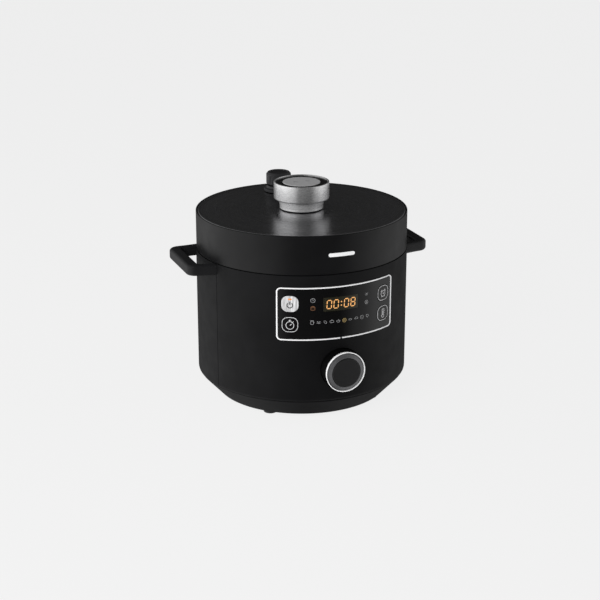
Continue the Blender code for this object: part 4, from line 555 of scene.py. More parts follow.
def moulded(name, colour, roughness, grain=2600.0, depth=0.000012, change=0.05, shine=0.5):
    """Moulded plastic: a fine spark-eroded grain, slight clouding and handling marks. Its shine is
    how strongly it mirrors, with 0.5 for bare plastic and less for a dulled one."""
    finish = Finish(name, colour, roughness)
    finish.shader.inputs["Specular IOR Level"].default_value = shine
    finish.tint(finish.spread(finish.noise(18.0, 4.0), 0.0, 1.0))
    finish.polish(finish.noise(55.0, 5.0), change)
    finish.bump(finish.noise(grain, 3.0), depth)
    return finish.material


def lacquered(name, colour, roughness, coat, coat_roughness):
    """Lacquer over a dark ground that mirrors little: a clear coat, faint orange peel and dust haze."""
    finish = Finish(name, colour, roughness)
    finish.shader.inputs["Specular IOR Level"].default_value = 0.25
    finish.shader.inputs["Coat Weight"].default_value = coat
    finish.shader.inputs["Coat Roughness"].default_value = coat_roughness
    finish.tint(finish.spread(finish.noise(30.0, 3.0), 0.0, 1.0), 0.85, 1.2)
    finish.polish(finish.noise(90.0, 6.0), roughness * 0.25)
    finish.bump(finish.noise(420.0, 2.0), 0.000006)
    return finish.material


def spun(name, colour, roughness, place=(0.0, 0.0, 0.0), facing_front=False, lines=5200.0, depth=0.00002,
         metallic=1.0, darker=0.86):
    """Metal brushed on a lathe: hair lines round the axis, long in angle and fine across."""
    finish = Finish(name, colour, roughness, metallic)
    lines_place = finish.round_place(place, facing_front, 3.0, lines, lines)
    hair = finish.noise(1.0, 5.0, lines_place)
    broad = finish.noise(1.0, 2.0, finish.round_place(place, facing_front, 9.0, 900.0, 900.0))
    finish.tint(finish.spread(broad, 0.0, 1.0), darker, 1.08)
    finish.polish(hair, roughness * 0.3)
    finish.bump(hair, depth)
    return finish.material


def straight_brushed(name, colour, roughness, metallic=1.0, lines=5200.0, darker=0.88):
    """Metal or lacquer brushed upright in straight hair lines."""
    finish = Finish(name, colour, roughness, metallic)
    stretch = finish.add('ShaderNodeMapping')
    stretch.inputs["Scale"].default_value = (lines, lines, 60.0)
    finish.links.new(finish.place, stretch.inputs["Vector"])
    hair = finish.noise(1.0, 4.0, stretch.outputs["Vector"])
    finish.tint(finish.spread(hair, 0.0, 1.0), darker, 1.06)
    finish.polish(hair, roughness * 0.25)
    finish.bump(hair, 0.000010)
    return finish.material


def glowing(name, colour, strength):
    """A lit sign behind smoked plastic: an even glow with slightly warmer grains."""
    finish = Finish(name, (0.02, 0.012, 0.006), 0.35)
    finish.tint(finish.noise(3000.0, 2.0))
    glow = finish.spread(finish.noise(900.0, 2.0), strength * 0.85, strength * 1.15)
    finish.links.new(glow, finish.shader.inputs["Emission Strength"])
    finish.shader.inputs["Emission Color"].default_value = (*colour, 1.0)
    return finish.material


def printed(name, colour):
    """Screen print: an even ink with a little mottle and a dry grain."""
    finish = Finish(name, colour, 0.5)
    finish.tint(finish.spread(finish.noise(1500.0, 3.0), 0.0, 1.0), 0.9, 1.08)
    finish.polish(finish.noise(2500.0, 2.0), 0.06)
    finish.bump(finish.noise(6000.0, 2.0), 0.000004)
    return finish.material


def smoked(name, colour):
    """Smoked window plastic over the display, with a faint printed cell grid."""
    finish = Finish(name, colour, 0.14)
    cells = finish.add('ShaderNodeTexVoronoi', Scale=900.0)
    finish.links.new(finish.place, cells.inputs["Vector"])
    finish.tint(finish.spread(cells.outputs["Distance"], 0.0, 1.0), 0.8, 1.3)
    finish.polish(finish.noise(70.0, 4.0), 0.04)
    finish.bump(finish.noise(350.0, 2.0), 0.000004)
    return finish.material


def clear(name, colour):
    """Frosted clear plastic for the cup."""
    finish = Finish(name, colour, 0.22)
    finish.shader.inputs["Transmission Weight"].default_value = 0.75
    finish.shader.inputs["IOR"].default_value = 1.49
    finish.tint(finish.noise(40.0, 3.0), 0.92, 1.05)
    finish.polish(finish.noise(120.0, 4.0), 0.06)
    finish.bump(finish.noise(1800.0, 2.0), 0.00001)
    return finish.material


def speckled(name, colour, roughness):
    """Non-stick coating: dark ground with fine pale flecks."""
    finish = Finish(name, colour, roughness)
    flecks = finish.add('ShaderNodeTexVoronoi', Scale=420.0)
    finish.links.new(finish.place, flecks.inputs["Vector"])
    finish.tint(finish.spread(flecks.outputs["Distance"], 1.0, 0.0, 0.08, 0.16), 0.9, 3.5)
    finish.polish(finish.noise(60.0, 4.0), 0.05)
    finish.bump(finish.noise(900.0, 3.0), 0.00002)
    return finish.material


def soft_rubber(name, colour, roughness):
    """Rubber or silicone: matt, with a dusty bloom."""
    finish = Finish(name, colour, roughness)
    finish.shader.inputs["Sheen Weight"].default_value = 0.15
    finish.tint(finish.spread(finish.noise(60.0, 5.0), 0.0, 1.0), 0.8, 1.3)
    finish.polish(finish.noise(200.0, 3.0), 0.06)
    finish.bump(finish.noise(1500.0, 3.0), 0.00002)
    return finish.material


def board(name, colour):
    """Circuit board lacquer over a net of copper tracks."""
    finish = Finish(name, colour, 0.40)
    tracks = finish.add('ShaderNodeTexBrick', Scale=180.0, Mortar_Size=0.03)
    finish.links.new(finish.place, tracks.inputs["Vector"])
    finish.tint(tracks.outputs["Fac"], 0.8, 2.2)
    finish.polish(finish.noise(300.0, 3.0), 0.06)
    finish.bump(tracks.outputs["Fac"], 0.00003)
    return finish.material


def make_finishes(colours):
    """Every finish of the cooker, by name."""
    valve = tuple(VALVE_PLACE)
    dial = (0.0, 0.0, DIAL_Z)
    return {
        "body": moulded("satin_black", colours.body, 0.52, shine=0.13),
        "base": moulded("base_black", colours.body, 0.44, 2200.0, 0.000016, shine=0.15),
        "lid_side": moulded("lid_black", colours.lid, 0.36, 3000.0, 0.000008, shine=0.26),
        "lid_plate": spun("lid_lacquer", (0.33, 0.33, 0.34), 0.30, lines=3200.0, depth=0.000004),
        "panel": lacquered("panel_gloss", colours.panel, 0.16, 0.22, 0.05),
        "window": smoked("display_smoke", (0.013, 0.012, 0.007)),
        "digits": glowing("display_glow", colours.digits, 1.05),
        "lamp": glowing("lamp_glow", (1.0, 0.33, 0.06), 0.9),
        "lit_sign": glowing("lit_sign_glow", (1.0, 0.74, 0.30), 0.34),
        "warm_sign": glowing("warm_sign_glow", (1.0, 0.45, 0.22), 0.20),
        "print": printed("light_print", colours.ink),
        "dim_print": printed("dim_print", [c * 0.42 for c in colours.ink]),
        "dark_print": printed("dark_print", (0.012, 0.012, 0.013)),
        "key_silver": straight_brushed("key_silver", (0.90, 0.90, 0.91), 0.34, 0.35, 900.0, 0.45),
        "knob": spun("knob_brushed", colours.silver, 0.28, metallic=0.93),
        "neck": spun("neck_brushed", colours.silver, 0.26, metallic=0.75),
        "knob_top": lacquered("knob_gloss", colours.panel, 0.20, 0.3, 0.10),
        "knob_disc": spun("knob_disc_grey", colours.disc, 0.42, lines=2600.0, depth=0.00001, metallic=0.15),
        "line_chrome": straight_brushed("line_silver", (0.90, 0.90, 0.91), 0.38, 0.15, 2500.0),
        "dial_chrome": spun("dial_chrome", (0.95, 0.95, 0.96), 0.26, dial, True, depth=0.000003,
                            metallic=0.12,
                            darker=0.95),
        "dial_side": moulded("dial_black", colours.panel, 0.40, 3000.0, 0.000008, shine=0.25),
        "dial_cone": spun("dial_grey", (0.13, 0.13, 0.135), 0.36, dial, True, 4200.0, 0.000012, 0.6),
        "dial_disc": moulded("dial_disc_black", (0.011, 0.011, 0.0115), 0.40, 3200.0, 0.000006, shine=0.3),
        "valve": moulded("valve_black", (0.013, 0.013, 0.014), 0.38, 2600.0, 0.000010, shine=0.35),
        "handle": moulded("handle_black", (0.0090, 0.0090, 0.0096), 0.40, 2400.0, 0.000012, shine=0.25),
        "mark": straight_brushed("mark_silver", (0.92, 0.92, 0.93), 0.36, 0.15),
        "pin": spun("pin_steel", (0.62, 0.62, 0.63), 0.25, tuple(FLOAT_PLACE), depth=0.00001),
        "steel": spun("turned_steel", (0.56, 0.56, 0.56), 0.28, depth=0.00001),
        "valve_steel": spun("valve_steel", (0.58, 0.58, 0.58), 0.28, valve, depth=0.00001),
        "aluminium": spun("spun_aluminium", (0.68, 0.68, 0.69), 0.38),
        "pot": speckled("pot_coating", (0.035, 0.035, 0.037), 0.42),
        "rubber": soft_rubber("foot_rubber", (0.014, 0.014, 0.014), 0.78),
        "silicone": soft_rubber("seal_silicone", (0.60, 0.60, 0.58), 0.52),
        "board": board("board_lacquer", (0.012, 0.075, 0.030)),
        "clear": clear("cup_clear", (0.62, 0.64, 0.65)),
        "inner_plastic": moulded("inner_black", colours.body, 0.50, 1800.0, 0.00002),
    }


# ------------------------------------------------------------------- body and base
def shell_foot(first, last, count):
    """The wall's rounded foot: a quarter of an ellipse that curls under, carried along the wall."""
    step = BODY_RADIUS - half_span("base_shell")
    angle = np.linspace(0.0, math.pi / 2, 9)[:, None]
    radius = BODY_RADIUS - step * (1 - np.sin(angle))
    height = SHELL_LOW + WALL_FOOT * (1 - np.cos(angle))
    heading = np.linspace(first, last, count + 1)[None, :] / BODY_RADIUS
    return sheet(on_body(heading, height, radius))


def wall_cell(first, last, bottom, top, inner, counts, rings):
    """A cell of the wall between two lengths along its curve, round one opening's outline."""
    half = (last - first) / 2
    centre = ((first + last) / 2, (bottom + top) / 2)
    outer = rounded_loop(half, (top - bottom) / 2, (0.0,) * 4, counts, 6, centre)
    flat = hole_patch(outer, inner(outer), rings)
    return sheet(on_body(flat[..., 0] / BODY_RADIUS, flat[..., 1], BODY_RADIUS), False, True)


def chord_opening(half_width, half_height, corner, centre_z, counts, heading=0.0):
    """An opening seen straight on from a heading, as an outline of lengths along the curve."""
    loop = rounded_loop(half_width, half_height, (corner,) * 4, counts, 6, (0.0, centre_z))
    loop[:, 0] = BODY_RADIUS * (heading + chord_heading(loop[:, 0]))
    return loop


def round_opening(outer, centre_z, radius):
    """A round opening seen straight on, with a point in the direction of each outer point."""
    centre = np.array((0.0, centre_z))
    away = outer - centre
    away /= np.linalg.norm(away, axis=1)[:, None]
    loop = centre + away * radius
    loop[:, 0] = BODY_RADIUS * chord_heading(loop[:, 0])
    return loop


def make_walls(sizes, looks):
    """The front wall round its panel and dial, and the rear wall round the inlet."""
    foot_top = SHELL_LOW + WALL_FOOT
    split = BODY_RADIUS * SEAM_HEADING
    half = split - sizes.seam / 2
    line_top = high("panel_frame").z
    line_low = low("panel_frame").z
    dial_hole = half_span("dial_rim") + 2 * GAP
    between = (line_low + DIAL_Z + dial_hole) / 2
    counts = (96, 24)
    opening = chord_opening(high("panel_frame").x + GAP, LINE_HALF_HEIGHT + GAP, 0.0058,
                            (line_top + line_low) / 2, counts)
    panel_cell = wall_cell(-half, half, between, SHELL_TOP, lambda outer: opening, counts, 28)
    dial_cell = wall_cell(-half, half, foot_top, between,
                          lambda outer: round_opening(outer, DIAL_Z, dial_hole), counts, 36)
    foot = shell_foot(-half, half, counts[0])
    piece("front_shell", [panel_cell, dial_cell, foot], "cooker_body", looks["body"],
          wall=WALL_THICKNESS, edge=sizes.edge * 0.6)

    counts = (144, 24)
    first = split + sizes.seam / 2
    last = TURN * BODY_RADIUS - first
    inlet = chord_opening(half_span("inlet_socket") + GAP, half_span("inlet_socket", 2) + GAP, 0.0025,
                          middle("inlet_socket").z, counts, math.pi)
    rear_cell = wall_cell(first, last, foot_top, SHELL_TOP, lambda outer: inlet, counts, 56)
    foot = shell_foot(first, last, counts[0])
    piece("rear_shell", [rear_cell, foot], "cooker_body", looks["body"],
          wall=WALL_THICKNESS, edge=sizes.edge * 0.6)


def make_base(sizes, looks):
    """The bowl-shaped base with its vent slots, the feet and the screws."""
    bottom = low("base_shell").z
    top = high("base_shell").z
    rim = half_span("base_shell")
    floor = half_span("foot_1") + np.hypot(*middle("foot_1").xy) + 0.0035
    wall = 0.0025
    profile = rounded_path([
        (0.0, bottom + wall), (floor - wall, bottom + wall, 0.006), (rim - wall, top), (rim, top, 0.0005),
        (rim, top - 0.0015, 0.0012), (floor, bottom, 0.0040), (0.0, bottom)])
    slot_start, slot_pitch = 0.030, 0.010
    half_width, half_length = 0.002, 0.015
    slots = []
    for side in (-1, 1):
        for row in range(3):
            x = side * (slot_start + row * slot_pitch)
            slot = rounded_box((x - half_width, -half_length, bottom - 0.002),
                               (x + half_width, half_length, bottom + 2 * wall), 0.0018)
            slots.append(tool("slot", slot))
    piece("base_shell", [turned(profile, sizes.steps)], "cooker_body", looks["base"],
          holes=slots)

    for index in range(1, 5):
        name = "foot_%d" % index
        place = middle(name)
        radius = half_span(name)
        foot = rounded_path([(0.0, high(name).z), (radius, high(name).z, 0.0006), (radius, 0.0, 0.0016),
                             (radius * 0.62, 0.0, 0.0004), (radius * 0.55, 0.0006, 0.0004), (0.0, 0.0006)])
        part = turned(foot, 64, (place.x, place.y, 0.0))
        piece(name, [part], "cooker_body", looks["rubber"])
        name = "base_screw_%d" % index
        place = middle(name)
        radius = half_span(name)
        top, bottom = high(name).z, low(name).z
        head = rounded_path([(0.0, top), (radius, top), (radius, (top + bottom) / 2, 0.0004),
                             (radius * 0.7, bottom, 0.0004), (radius * 0.4, bottom, 0.0001),
                             (radius * 0.36, top - 0.0006), (0.0, top - 0.0006)])
        piece(name, [turned(head, 48, (place.x, place.y, 0.0))], "cooker_body", looks["steel"])


HANDLE_BAR = 0.0165                   # depth of the bar that a hand holds
HANDLE_CORNER = 0.013
HANDLE_GAP_CORNER = 0.005
HANDLE_ARM_HEADING = 4.6              # heading that an arm's root takes up, in degrees
# Each arm's side, its root's heading in degrees, and how far along the body its end lies.
HANDLE_ARMS = ((-1, 18.5, 0.0375), (1, 25.0, 0.0580))


def handle_outlines():
    """The handle's outer and inner outlines from its front root to its back one, each with the
    same number of points. The arms run from the body to the bar's ends."""
    reach = high("right_handle").x
    bar = reach - HANDLE_BAR
    hug = BODY_RADIUS + GAP
    outer, inner = [], []
    for side, root, end in HANDLE_ARMS:
        root_angle = math.radians(root)
        inner_angle = math.radians(root - HANDLE_ARM_HEADING)
        root_out = (hug * math.cos(root_angle), hug * math.sin(root_angle))
        root_in = (hug * math.cos(inner_angle), hug * math.sin(inner_angle))
        slope = (end - root_out[1]) / (reach - root_out[0])
        gap_end = root_in[1] + slope * (bar - root_in[0])
        arm_out = [(root_out[0], side * root_out[1]), (reach, side * end, HANDLE_CORNER)]
        arm_in = [(root_in[0], side * root_in[1]), (bar, side * gap_end, HANDLE_GAP_CORNER)]
        outer += arm_out[::-side]
        inner += arm_in[::-side]
    return rounded_path(outer, 14, 10), rounded_path(inner, 14, 10)


def handle_part(edge, mirror):
    """A rounded rectangular section lofted between the two outlines: its half width is half the
    space between a pair of their points, and its corners keep the same radius."""
    outer, inner = handle_outlines()
    half_height = half_span("right_handle", 2)
    centre_z = middle("right_handle").z
    centre = (outer + inner) / 2
    across = outer - inner
    half = np.linalg.norm(across, axis=1)[:, None] / 2
    across = across / (2 * half)
    quarter = np.linspace(0.0, math.pi / 2, 7)
    angle = np.concatenate([quarter + q * math.pi / 2 for q in range(4)])[None, :]
    side = np.repeat((1, -1, -1, 1), 7)[None, :]
    rise = np.repeat((1, 1, -1, -1), 7)[None, :]
    reach = side * (half - edge) + edge * np.cos(angle)
    height = rise * (half_height - edge) + edge * np.sin(angle) + 0.0 * half
    points = np.stack((centre[:, :1] + across[:, :1] * reach, centre[:, 1:] + across[:, 1:] * reach,
                       centre_z + height), axis=-1)
    points[..., 0] *= mirror
    return sheet(points, False, True, True)


def make_handles(sizes, looks):
    """The two side handles, each the other's mirror image."""
    for name, mirror in (("right_handle", 1.0), ("left_handle", -1.0)):
        piece(name, [handle_part(sizes.handle_edge, mirror)], "cooker_body", looks["handle"])


# ------------------------------------------------------------------- control panel
KEYS = (
    ("power_key", "power_push", "silver"),
    ("timer_key", "timer_push", "gloss_black"),
    ("preset_key", "preset_push", "gloss_black"),
    ("temperature_key", "temperature_push", "gloss_black"),
)
KEY_HALF_WIDTH = 0.0113
KEY_HALF_HEIGHT = half_span("power_key", 2)
KEY_CORNER = 0.0085
KEY_CLEARANCE = 0.0004
KEY_REACH = 0.0684                    # from the middle of the panel, along its curve


def key_heading(name):
    """A key's heading, on the side of the panel where its node is."""
    side = 1 if middle(name).x > 0 else -1
    return side * (KEY_REACH / BODY_RADIUS)


def chord_sheet(flat, wrap_columns=True):
    """A flat grid seen straight on from the front, laid onto the body's curve."""
    return sheet(on_body(chord_heading(flat[..., 0]), flat[..., 1], BODY_RADIUS), False, wrap_columns)


def key_hole(name, counts):
    """A key's hole as an outline of (across, height) seen from the front."""
    grown = KEY_CLEARANCE
    loop = rounded_loop(KEY_HALF_WIDTH + grown, KEY_HALF_HEIGHT + grown, (KEY_CORNER + grown,) * 4, counts, 6,
                        (0.0, middle(name).z))
    loop[:, 0] = BODY_RADIUS * np.sin(key_heading(name) + chord_heading(loop[:, 0]))
    return loop


def make_panel(looks):
    """The curved panel in six cells round its holes, the silver line round it, and the window."""
    column = 0.0480
    half_width = PANEL_HALF
    corner = 0.0032
    counts = (16, 12)
    wide_counts = (48, 12)
    cells = []
    for name, _, _ in KEYS:
        side = 1 if middle(name).x > 0 else -1
        top = middle(name).z > PANEL_Z
        radii = [0.0, 0.0, 0.0, 0.0]
        radii[(1 if side > 0 else 2) if top else (0 if side > 0 else 3)] = corner
        centre = (side * (column + half_width) / 2, PANEL_Z + (0.5 if top else -0.5) * PANEL_HALF_HEIGHT)
        outer = rounded_loop((half_width - column) / 2, PANEL_HALF_HEIGHT / 2, radii, counts, 6, centre)
        cells.append(chord_sheet(hole_patch(outer, key_hole(name, counts), 6)))
    window = middle("display_window")
    window_half = half_span("display_window")
    window_rise = half_span("display_window", 2)
    outer = rounded_loop(column, PANEL_HALF_HEIGHT / 2, (0.0,) * 4, wide_counts, 6,
                         (0.0, PANEL_Z + PANEL_HALF_HEIGHT / 2))
    inner = rounded_loop(window_half + GAP, window_rise + GAP, (0.0015,) * 4, wide_counts, 6, (0.0, window.z))
    cells.append(chord_sheet(hole_patch(outer, inner, 14)))
    across = np.linspace(-column, column, wide_counts[0] + 1)[None, :]
    rise = np.linspace(PANEL_Z - PANEL_HALF_HEIGHT, PANEL_Z, wide_counts[1] + 1)[:, None]
    plain = np.stack(np.broadcast_arrays(across, rise), axis=-1)
    cells.append(chord_sheet(plain, False))
    piece("control_panel", cells, "cooker_body", looks["panel"], wall=0.0026, edge=0.00025)

    rows = key_rows(-0.0022, 0.0, 0.0003)
    glass = wrapped_solid(window_half, window_rise, 0.0012, rows, 0.0, window.z, BODY_RADIUS, (32, 8))
    piece("display_window", [glass], "cooker_body", looks["window"])

    outer_x = high("panel_frame").x - 0.001
    rise = LINE_HALF_HEIGHT - 0.001
    notch = 0.0016
    corner = 0.0048
    path = rounded_path([
        (notch, -rise), (outer_x, -rise, corner), (outer_x, rise, corner), (-outer_x, rise, corner),
        (-outer_x, -rise, corner), (-notch, -rise)], 10, 48)
    piece("panel_frame", [frame_line(path)], "cooker_body", looks["line_chrome"])


def frame_line(path):
    """A bar of rounded section carried along a path on the body: the section's points are
    (sideways, outwards), and sideways is across the path."""
    half, proud, rounding = 0.0008, 0.0006, 0.0004
    section = rounded_path([(-half, -0.0020), (half, -0.0020), (half, proud, rounding),
                            (-half, proud, rounding)], 5, 1, True)
    along = np.gradient(path, axis=0)
    along /= np.linalg.norm(along, axis=1)[:, None]
    side = np.stack((-along[:, 1], along[:, 0]), axis=-1)
    flat = path[:, None, :] + side[:, None, :] * section[None, :, :1]
    heading = chord_heading(flat[..., 0])
    return sheet(on_body(heading, PANEL_Z + flat[..., 1], BODY_RADIUS + section[None, :, 1]), False, True,
                 True)


def make_keys(looks):
    """The four push keys, each a curved plate with a rounded edge."""
    for name, body, slot in KEYS:
        finish = looks["key_silver"] if name == "power_key" else looks["panel"]
        rows = key_rows(-0.0032, 0.0002, 0.0005)
        key = wrapped_solid(KEY_HALF_WIDTH, KEY_HALF_HEIGHT, KEY_CORNER, rows, key_heading(name),
                            middle(name).z, BODY_RADIUS)
        piece(name, [key], body, finish)


# --------------------------------------------------------------- signs and display
def laid(paths, heading, height, width, radius, thick=0.00007, sink=0.0001):
    """Flat lines bent onto the body about a heading and a height: each is a thin bar that stands
    on the surface. A path that is given with True is a closed one."""
    parts = []
    for path in paths:
        closed = isinstance(path, tuple)
        points = path[0] if closed else path
        rows = ribbon(points, width, closed)
        turn = heading + rows[..., 0] / BODY_RADIUS
        level = radius - sink + rows[..., 2] * (sink + thick)
        parts.append(sheet(on_body(turn, height + rows[..., 1], level), closed, True, not closed))
    return parts


def plates(outlines, heading, height, radius, thick=0.00007, sink=0.0001):
    """Flat filled shapes bent onto the body: rows run from the middle of the back, over the edge,
    to the middle of the front."""
    parts = []
    for outline in outlines:
        middle_point = outline.mean(axis=0)
        rows = []
        for scale, level in ((0.0, -sink), (1.0, -sink), (1.0, thick), (0.0, thick)):
            flat = middle_point + (outline - middle_point) * scale
            rows.append(np.concatenate((flat, np.full((len(flat), 1), level)), axis=1))
        rows = np.array(rows)
        turn = heading + rows[..., 0] / BODY_RADIUS
        parts.append(sheet(on_body(turn, height + rows[..., 1], radius + rows[..., 2]), False, True))
    return parts


def pad_line(half_width, half_height, corner):
    """A closed line round a rounded rectangle."""
    loop = rounded_loop(half_width, half_height, (corner,) * 4, (6, 6), 8)
    return loop, True


def power_sign():
    """An upright stroke in a broken ring."""
    return [arc((0.0, -1.4), 3.3, 128.0, 412.0), line((0.0, -0.9), (0.0, 3.0))]


def stopwatch_sign():
    """A ring with a crown and a hand."""
    return [ring_line(arc((0.0, -1.0), 5.2)), line((0.0, 4.3), (0.0, 6.0)), line((-1.5, 6.2), (1.5, 6.2)),
            line((3.8, 3.4), (4.7, 4.3)), line((0.0, -1.2), (2.4, 1.2))]


def alarm_sign():
    """A clock face with its hands, two bells and a ring."""
    return [ring_line(arc((0.0, -0.8), 4.0)), line((0.0, 1.2), (0.0, -1.0), (1.9, -1.0)),
            arc((0.0, -0.8), 5.6, 110.0, 150.0, 8), arc((0.0, -0.8), 5.6, 30.0, 70.0, 8),
            line((-2.6, -4.4), (-3.5, -5.4)), line((2.6, -4.4), (3.5, -5.4))]


def thermometer_sign():
    """A bulb below a tall stem, with marks beside it."""
    stem = np.concatenate((arc((0.0, 5.0), 1.3, 0.0, 180.0, 10), arc((0.0, -3.8), 2.4, 122.0, 418.0, 24)))
    return [(stem, True), line((0.0, -3.6), (0.0, 2.2)), line((2.9, 4.4), (4.1, 4.4)),
            line((2.9, 2.2), (4.1, 2.2)), line((2.9, 0.0), (4.1, 0.0))]


def clock_sign():
    """A plain clock."""
    return [ring_line(arc((0.0, 0.0), 2.6)), line((0.0, 1.5), (0.0, -0.1), (1.0, -0.7))]


def pot_sign():
    """A lidded pot."""
    return [pad_line(2.3, 2.0, 0.7), line((-2.3, 0.8), (2.3, 0.8)), line((-0.7, 2.5), (0.7, 2.5))]


def sun_sign():
    """A small wheel with spokes."""
    spokes = [line((1.5 * math.cos(a), 1.5 * math.sin(a)), (2.4 * math.cos(a), 2.4 * math.sin(a)))
              for a in np.linspace(0.0, TURN, 7)[:-1]]
    return [ring_line(arc((0.0, 0.0), 0.9, count=16))] + spokes


def drop_sign():
    """A ring round a drop."""
    return [ring_line(arc((0.0, 0.0), 2.5)), line((-0.8, -0.5), (0.0, 1.3), (0.8, -0.5)),
            arc((0.0, -0.5), 0.8, 180.0, 360.0, 8)]


def dish_signs():
    """Ten small programme signs: jug, steam, leaf, pan, pot, lit bowl, fish, loaf, plate and cup."""
    steam = [np.stack((np.linspace(-2.0, 2.0, 13), row + 0.5 * np.sin(np.linspace(0.0, 9.0, 13))), axis=-1)
             for row in (-0.9, 0.6)]
    return [
        [pad_line(1.5, 1.9, 0.4), line((-1.9, 2.4), (1.9, 2.4)), line((1.5, 0.9), (2.3, 0.3), (1.5, -0.6))],
        steam,
        [arc((-0.9, -0.9), 2.4, -15.0, 105.0, 14), arc((0.9, 0.9), 2.4, 165.0, 285.0, 14)],
        [pad_line(2.0, 1.2, 0.5), line((-1.0, 1.9), (1.0, 1.9))],
        [arc((0.0, 0.4), 2.0, 180.0, 360.0, 14), line((-2.4, 0.4), (2.4, 0.4)), line((0.0, 1.2), (0.0, 2.0))],
        [ring_line(arc((0.0, 0.0), 2.2)), ring_line(arc((0.0, 0.0), 1.0, count=16))],
        [arc((-0.3, -1.5), 2.4, 40.0, 140.0, 12), arc((-0.3, 1.5), 2.4, 220.0, 320.0, 12)],
        [arc((0.0, -0.6), 2.1, 0.0, 180.0, 14), line((-2.1, -0.6), (2.1, -0.6))],
        [ring_line(arc((0.0, 0.0), 2.1)), line((0.0, -0.9), (0.0, 0.9))],
        [arc((0.0, 0.3), 1.5, 180.0, 360.0, 12), line((-1.5, 0.3), (-1.5, 1.7), (1.5, 1.7), (1.5, 0.3)),
         line((0.0, -1.2), (0.0, -2.2))],
    ]


def in_millimetres(paths, scale=1.0):
    """Sign paths drawn in millimetres, as metres."""
    unit = 0.001 * scale
    return [(path[0] * unit, True) if isinstance(path, tuple) else path * unit for path in paths]


SEGMENTS = {
    "top": (0.0, 1.0, True), "upper_right": (1.0, 0.5, False), "lower_right": (1.0, -0.5, False),
    "bottom": (0.0, -1.0, True), "lower_left": (-1.0, -0.5, False), "upper_left": (-1.0, 0.5, False),
    "middle": (0.0, 0.0, True),
}


# Each digit's place across the window, and the bars that aren't lit.
DIGITS = ((-0.0168, ("middle",)), (-0.0074, ("middle",)), (0.0070, ("middle",)), (0.0165, ()))


def segment(across, rise, level, half_width, half_height):
    """One bar of a digit: a long hexagon, pointed at both ends."""
    half = (half_width if level else half_height / 2) - 0.00050
    thick = 0.00060
    points = np.array(((-half, 0.0), (-half + thick, -thick), (half - thick, -thick),
                       (half, 0.0), (half - thick, thick), (-half + thick, thick)))
    if not level:
        points = np.stack((-points[:, 1], points[:, 0]), axis=-1)
    return points + np.array((across * half_width, rise * half_height))


def digit(left_out, across):
    """The bars of a seven-bar digit, at a place across the window."""
    half_width, half_height = 0.0030, 0.0056
    bars = [segment(*place, half_width, half_height)
            for name, place in SEGMENTS.items() if name not in left_out]
    lean = 0.06
    return [bar + np.stack((across + bar[:, 1] * lean, 0.0 * bar[:, 1]), axis=-1) for bar in bars]


def sign(name, parts, body, finish):
    """A printed or lit sign, which stands for no CAD node."""
    return piece(name, parts, body, finish, ())


def make_signs(sizes, looks):
    """The digits, the lamps and every printed sign on the panel and its keys."""
    width = sizes.print_width
    window_z = middle("display_window").z
    surface = BODY_RADIUS + 0.00002
    bars = []
    for across, left_out in DIGITS:
        bars += digit(left_out, across)
    dot = np.array(((-1, -1), (1, -1), (1, 1), (-1, 1))) * 0.0008
    dots = [dot + np.array((-0.0002, rise)) for rise in (-0.0024, 0.0024)]
    sign("display_digits", plates(bars + dots, 0.0, window_z, surface), "cooker_body",
         looks["digits"])

    left, right = math.radians(-15.2), math.radians(14.9)
    top_z, bottom_z = 0.1755, 0.1647
    sign("clock_sign", laid(in_millimetres(clock_sign(), 1.1), left, top_z, width * 0.8, surface),
         "cooker_body",
         looks["dim_print"])
    sign("pot_sign", laid(in_millimetres(pot_sign(), 1.15), left, bottom_z, width * 0.8, surface),
         "cooker_body",
         looks["warm_sign"])
    faint = laid(in_millimetres(sun_sign()), right, top_z, width * 0.8, surface)
    faint += laid(in_millimetres(drop_sign()), right, bottom_z, width * 0.8, surface)
    sign("faint_signs", faint, "cooker_body", looks["dim_print"])

    lit = 5
    row_z = 0.1450
    first, pitch = math.radians(-15.63), math.radians(3.47)
    row = []
    for index, paths in enumerate(dish_signs()):
        parts = laid(in_millimetres(paths, 1.2), first + pitch * index, row_z, width * 0.75, surface)
        if index == lit:
            sign("lit_dish_sign", parts, "cooker_body", looks["lit_sign"])
        else:
            row += parts
    sign("dish_signs", row, "cooker_body", looks["dim_print"])

    key_surface = BODY_RADIUS + 0.0002
    inset = 0.0010
    outline = pad_line(KEY_HALF_WIDTH - inset, KEY_HALF_HEIGHT - inset, KEY_CORNER - inset)
    drawn = {"timer_key": stopwatch_sign(), "preset_key": alarm_sign(), "temperature_key": thermometer_sign()}
    for name, body, _ in KEYS:
        if name == "power_key":
            continue
        place = (key_heading(name), middle(name).z)
        parts = laid([outline], *place, width, key_surface)
        parts += laid(in_millimetres(drawn[name]), *place, width * 1.1, key_surface)
        sign(name.replace("key", "sign"), parts, body, looks["print"])
    place = (key_heading("power_key"), middle("power_key").z)
    sign("power_sign", laid(in_millimetres(power_sign(), 1.1), *place, width * 1.9, key_surface),
         "power_push",
         looks["dark_print"])
    lamp = [rounded_loop(0.0024, 0.0010, (0.0009,) * 4, (4, 2)) + np.array((0.0, 0.0066))]
    sign("power_lamp", plates(lamp, *place, key_surface), "power_push", looks["lamp"])


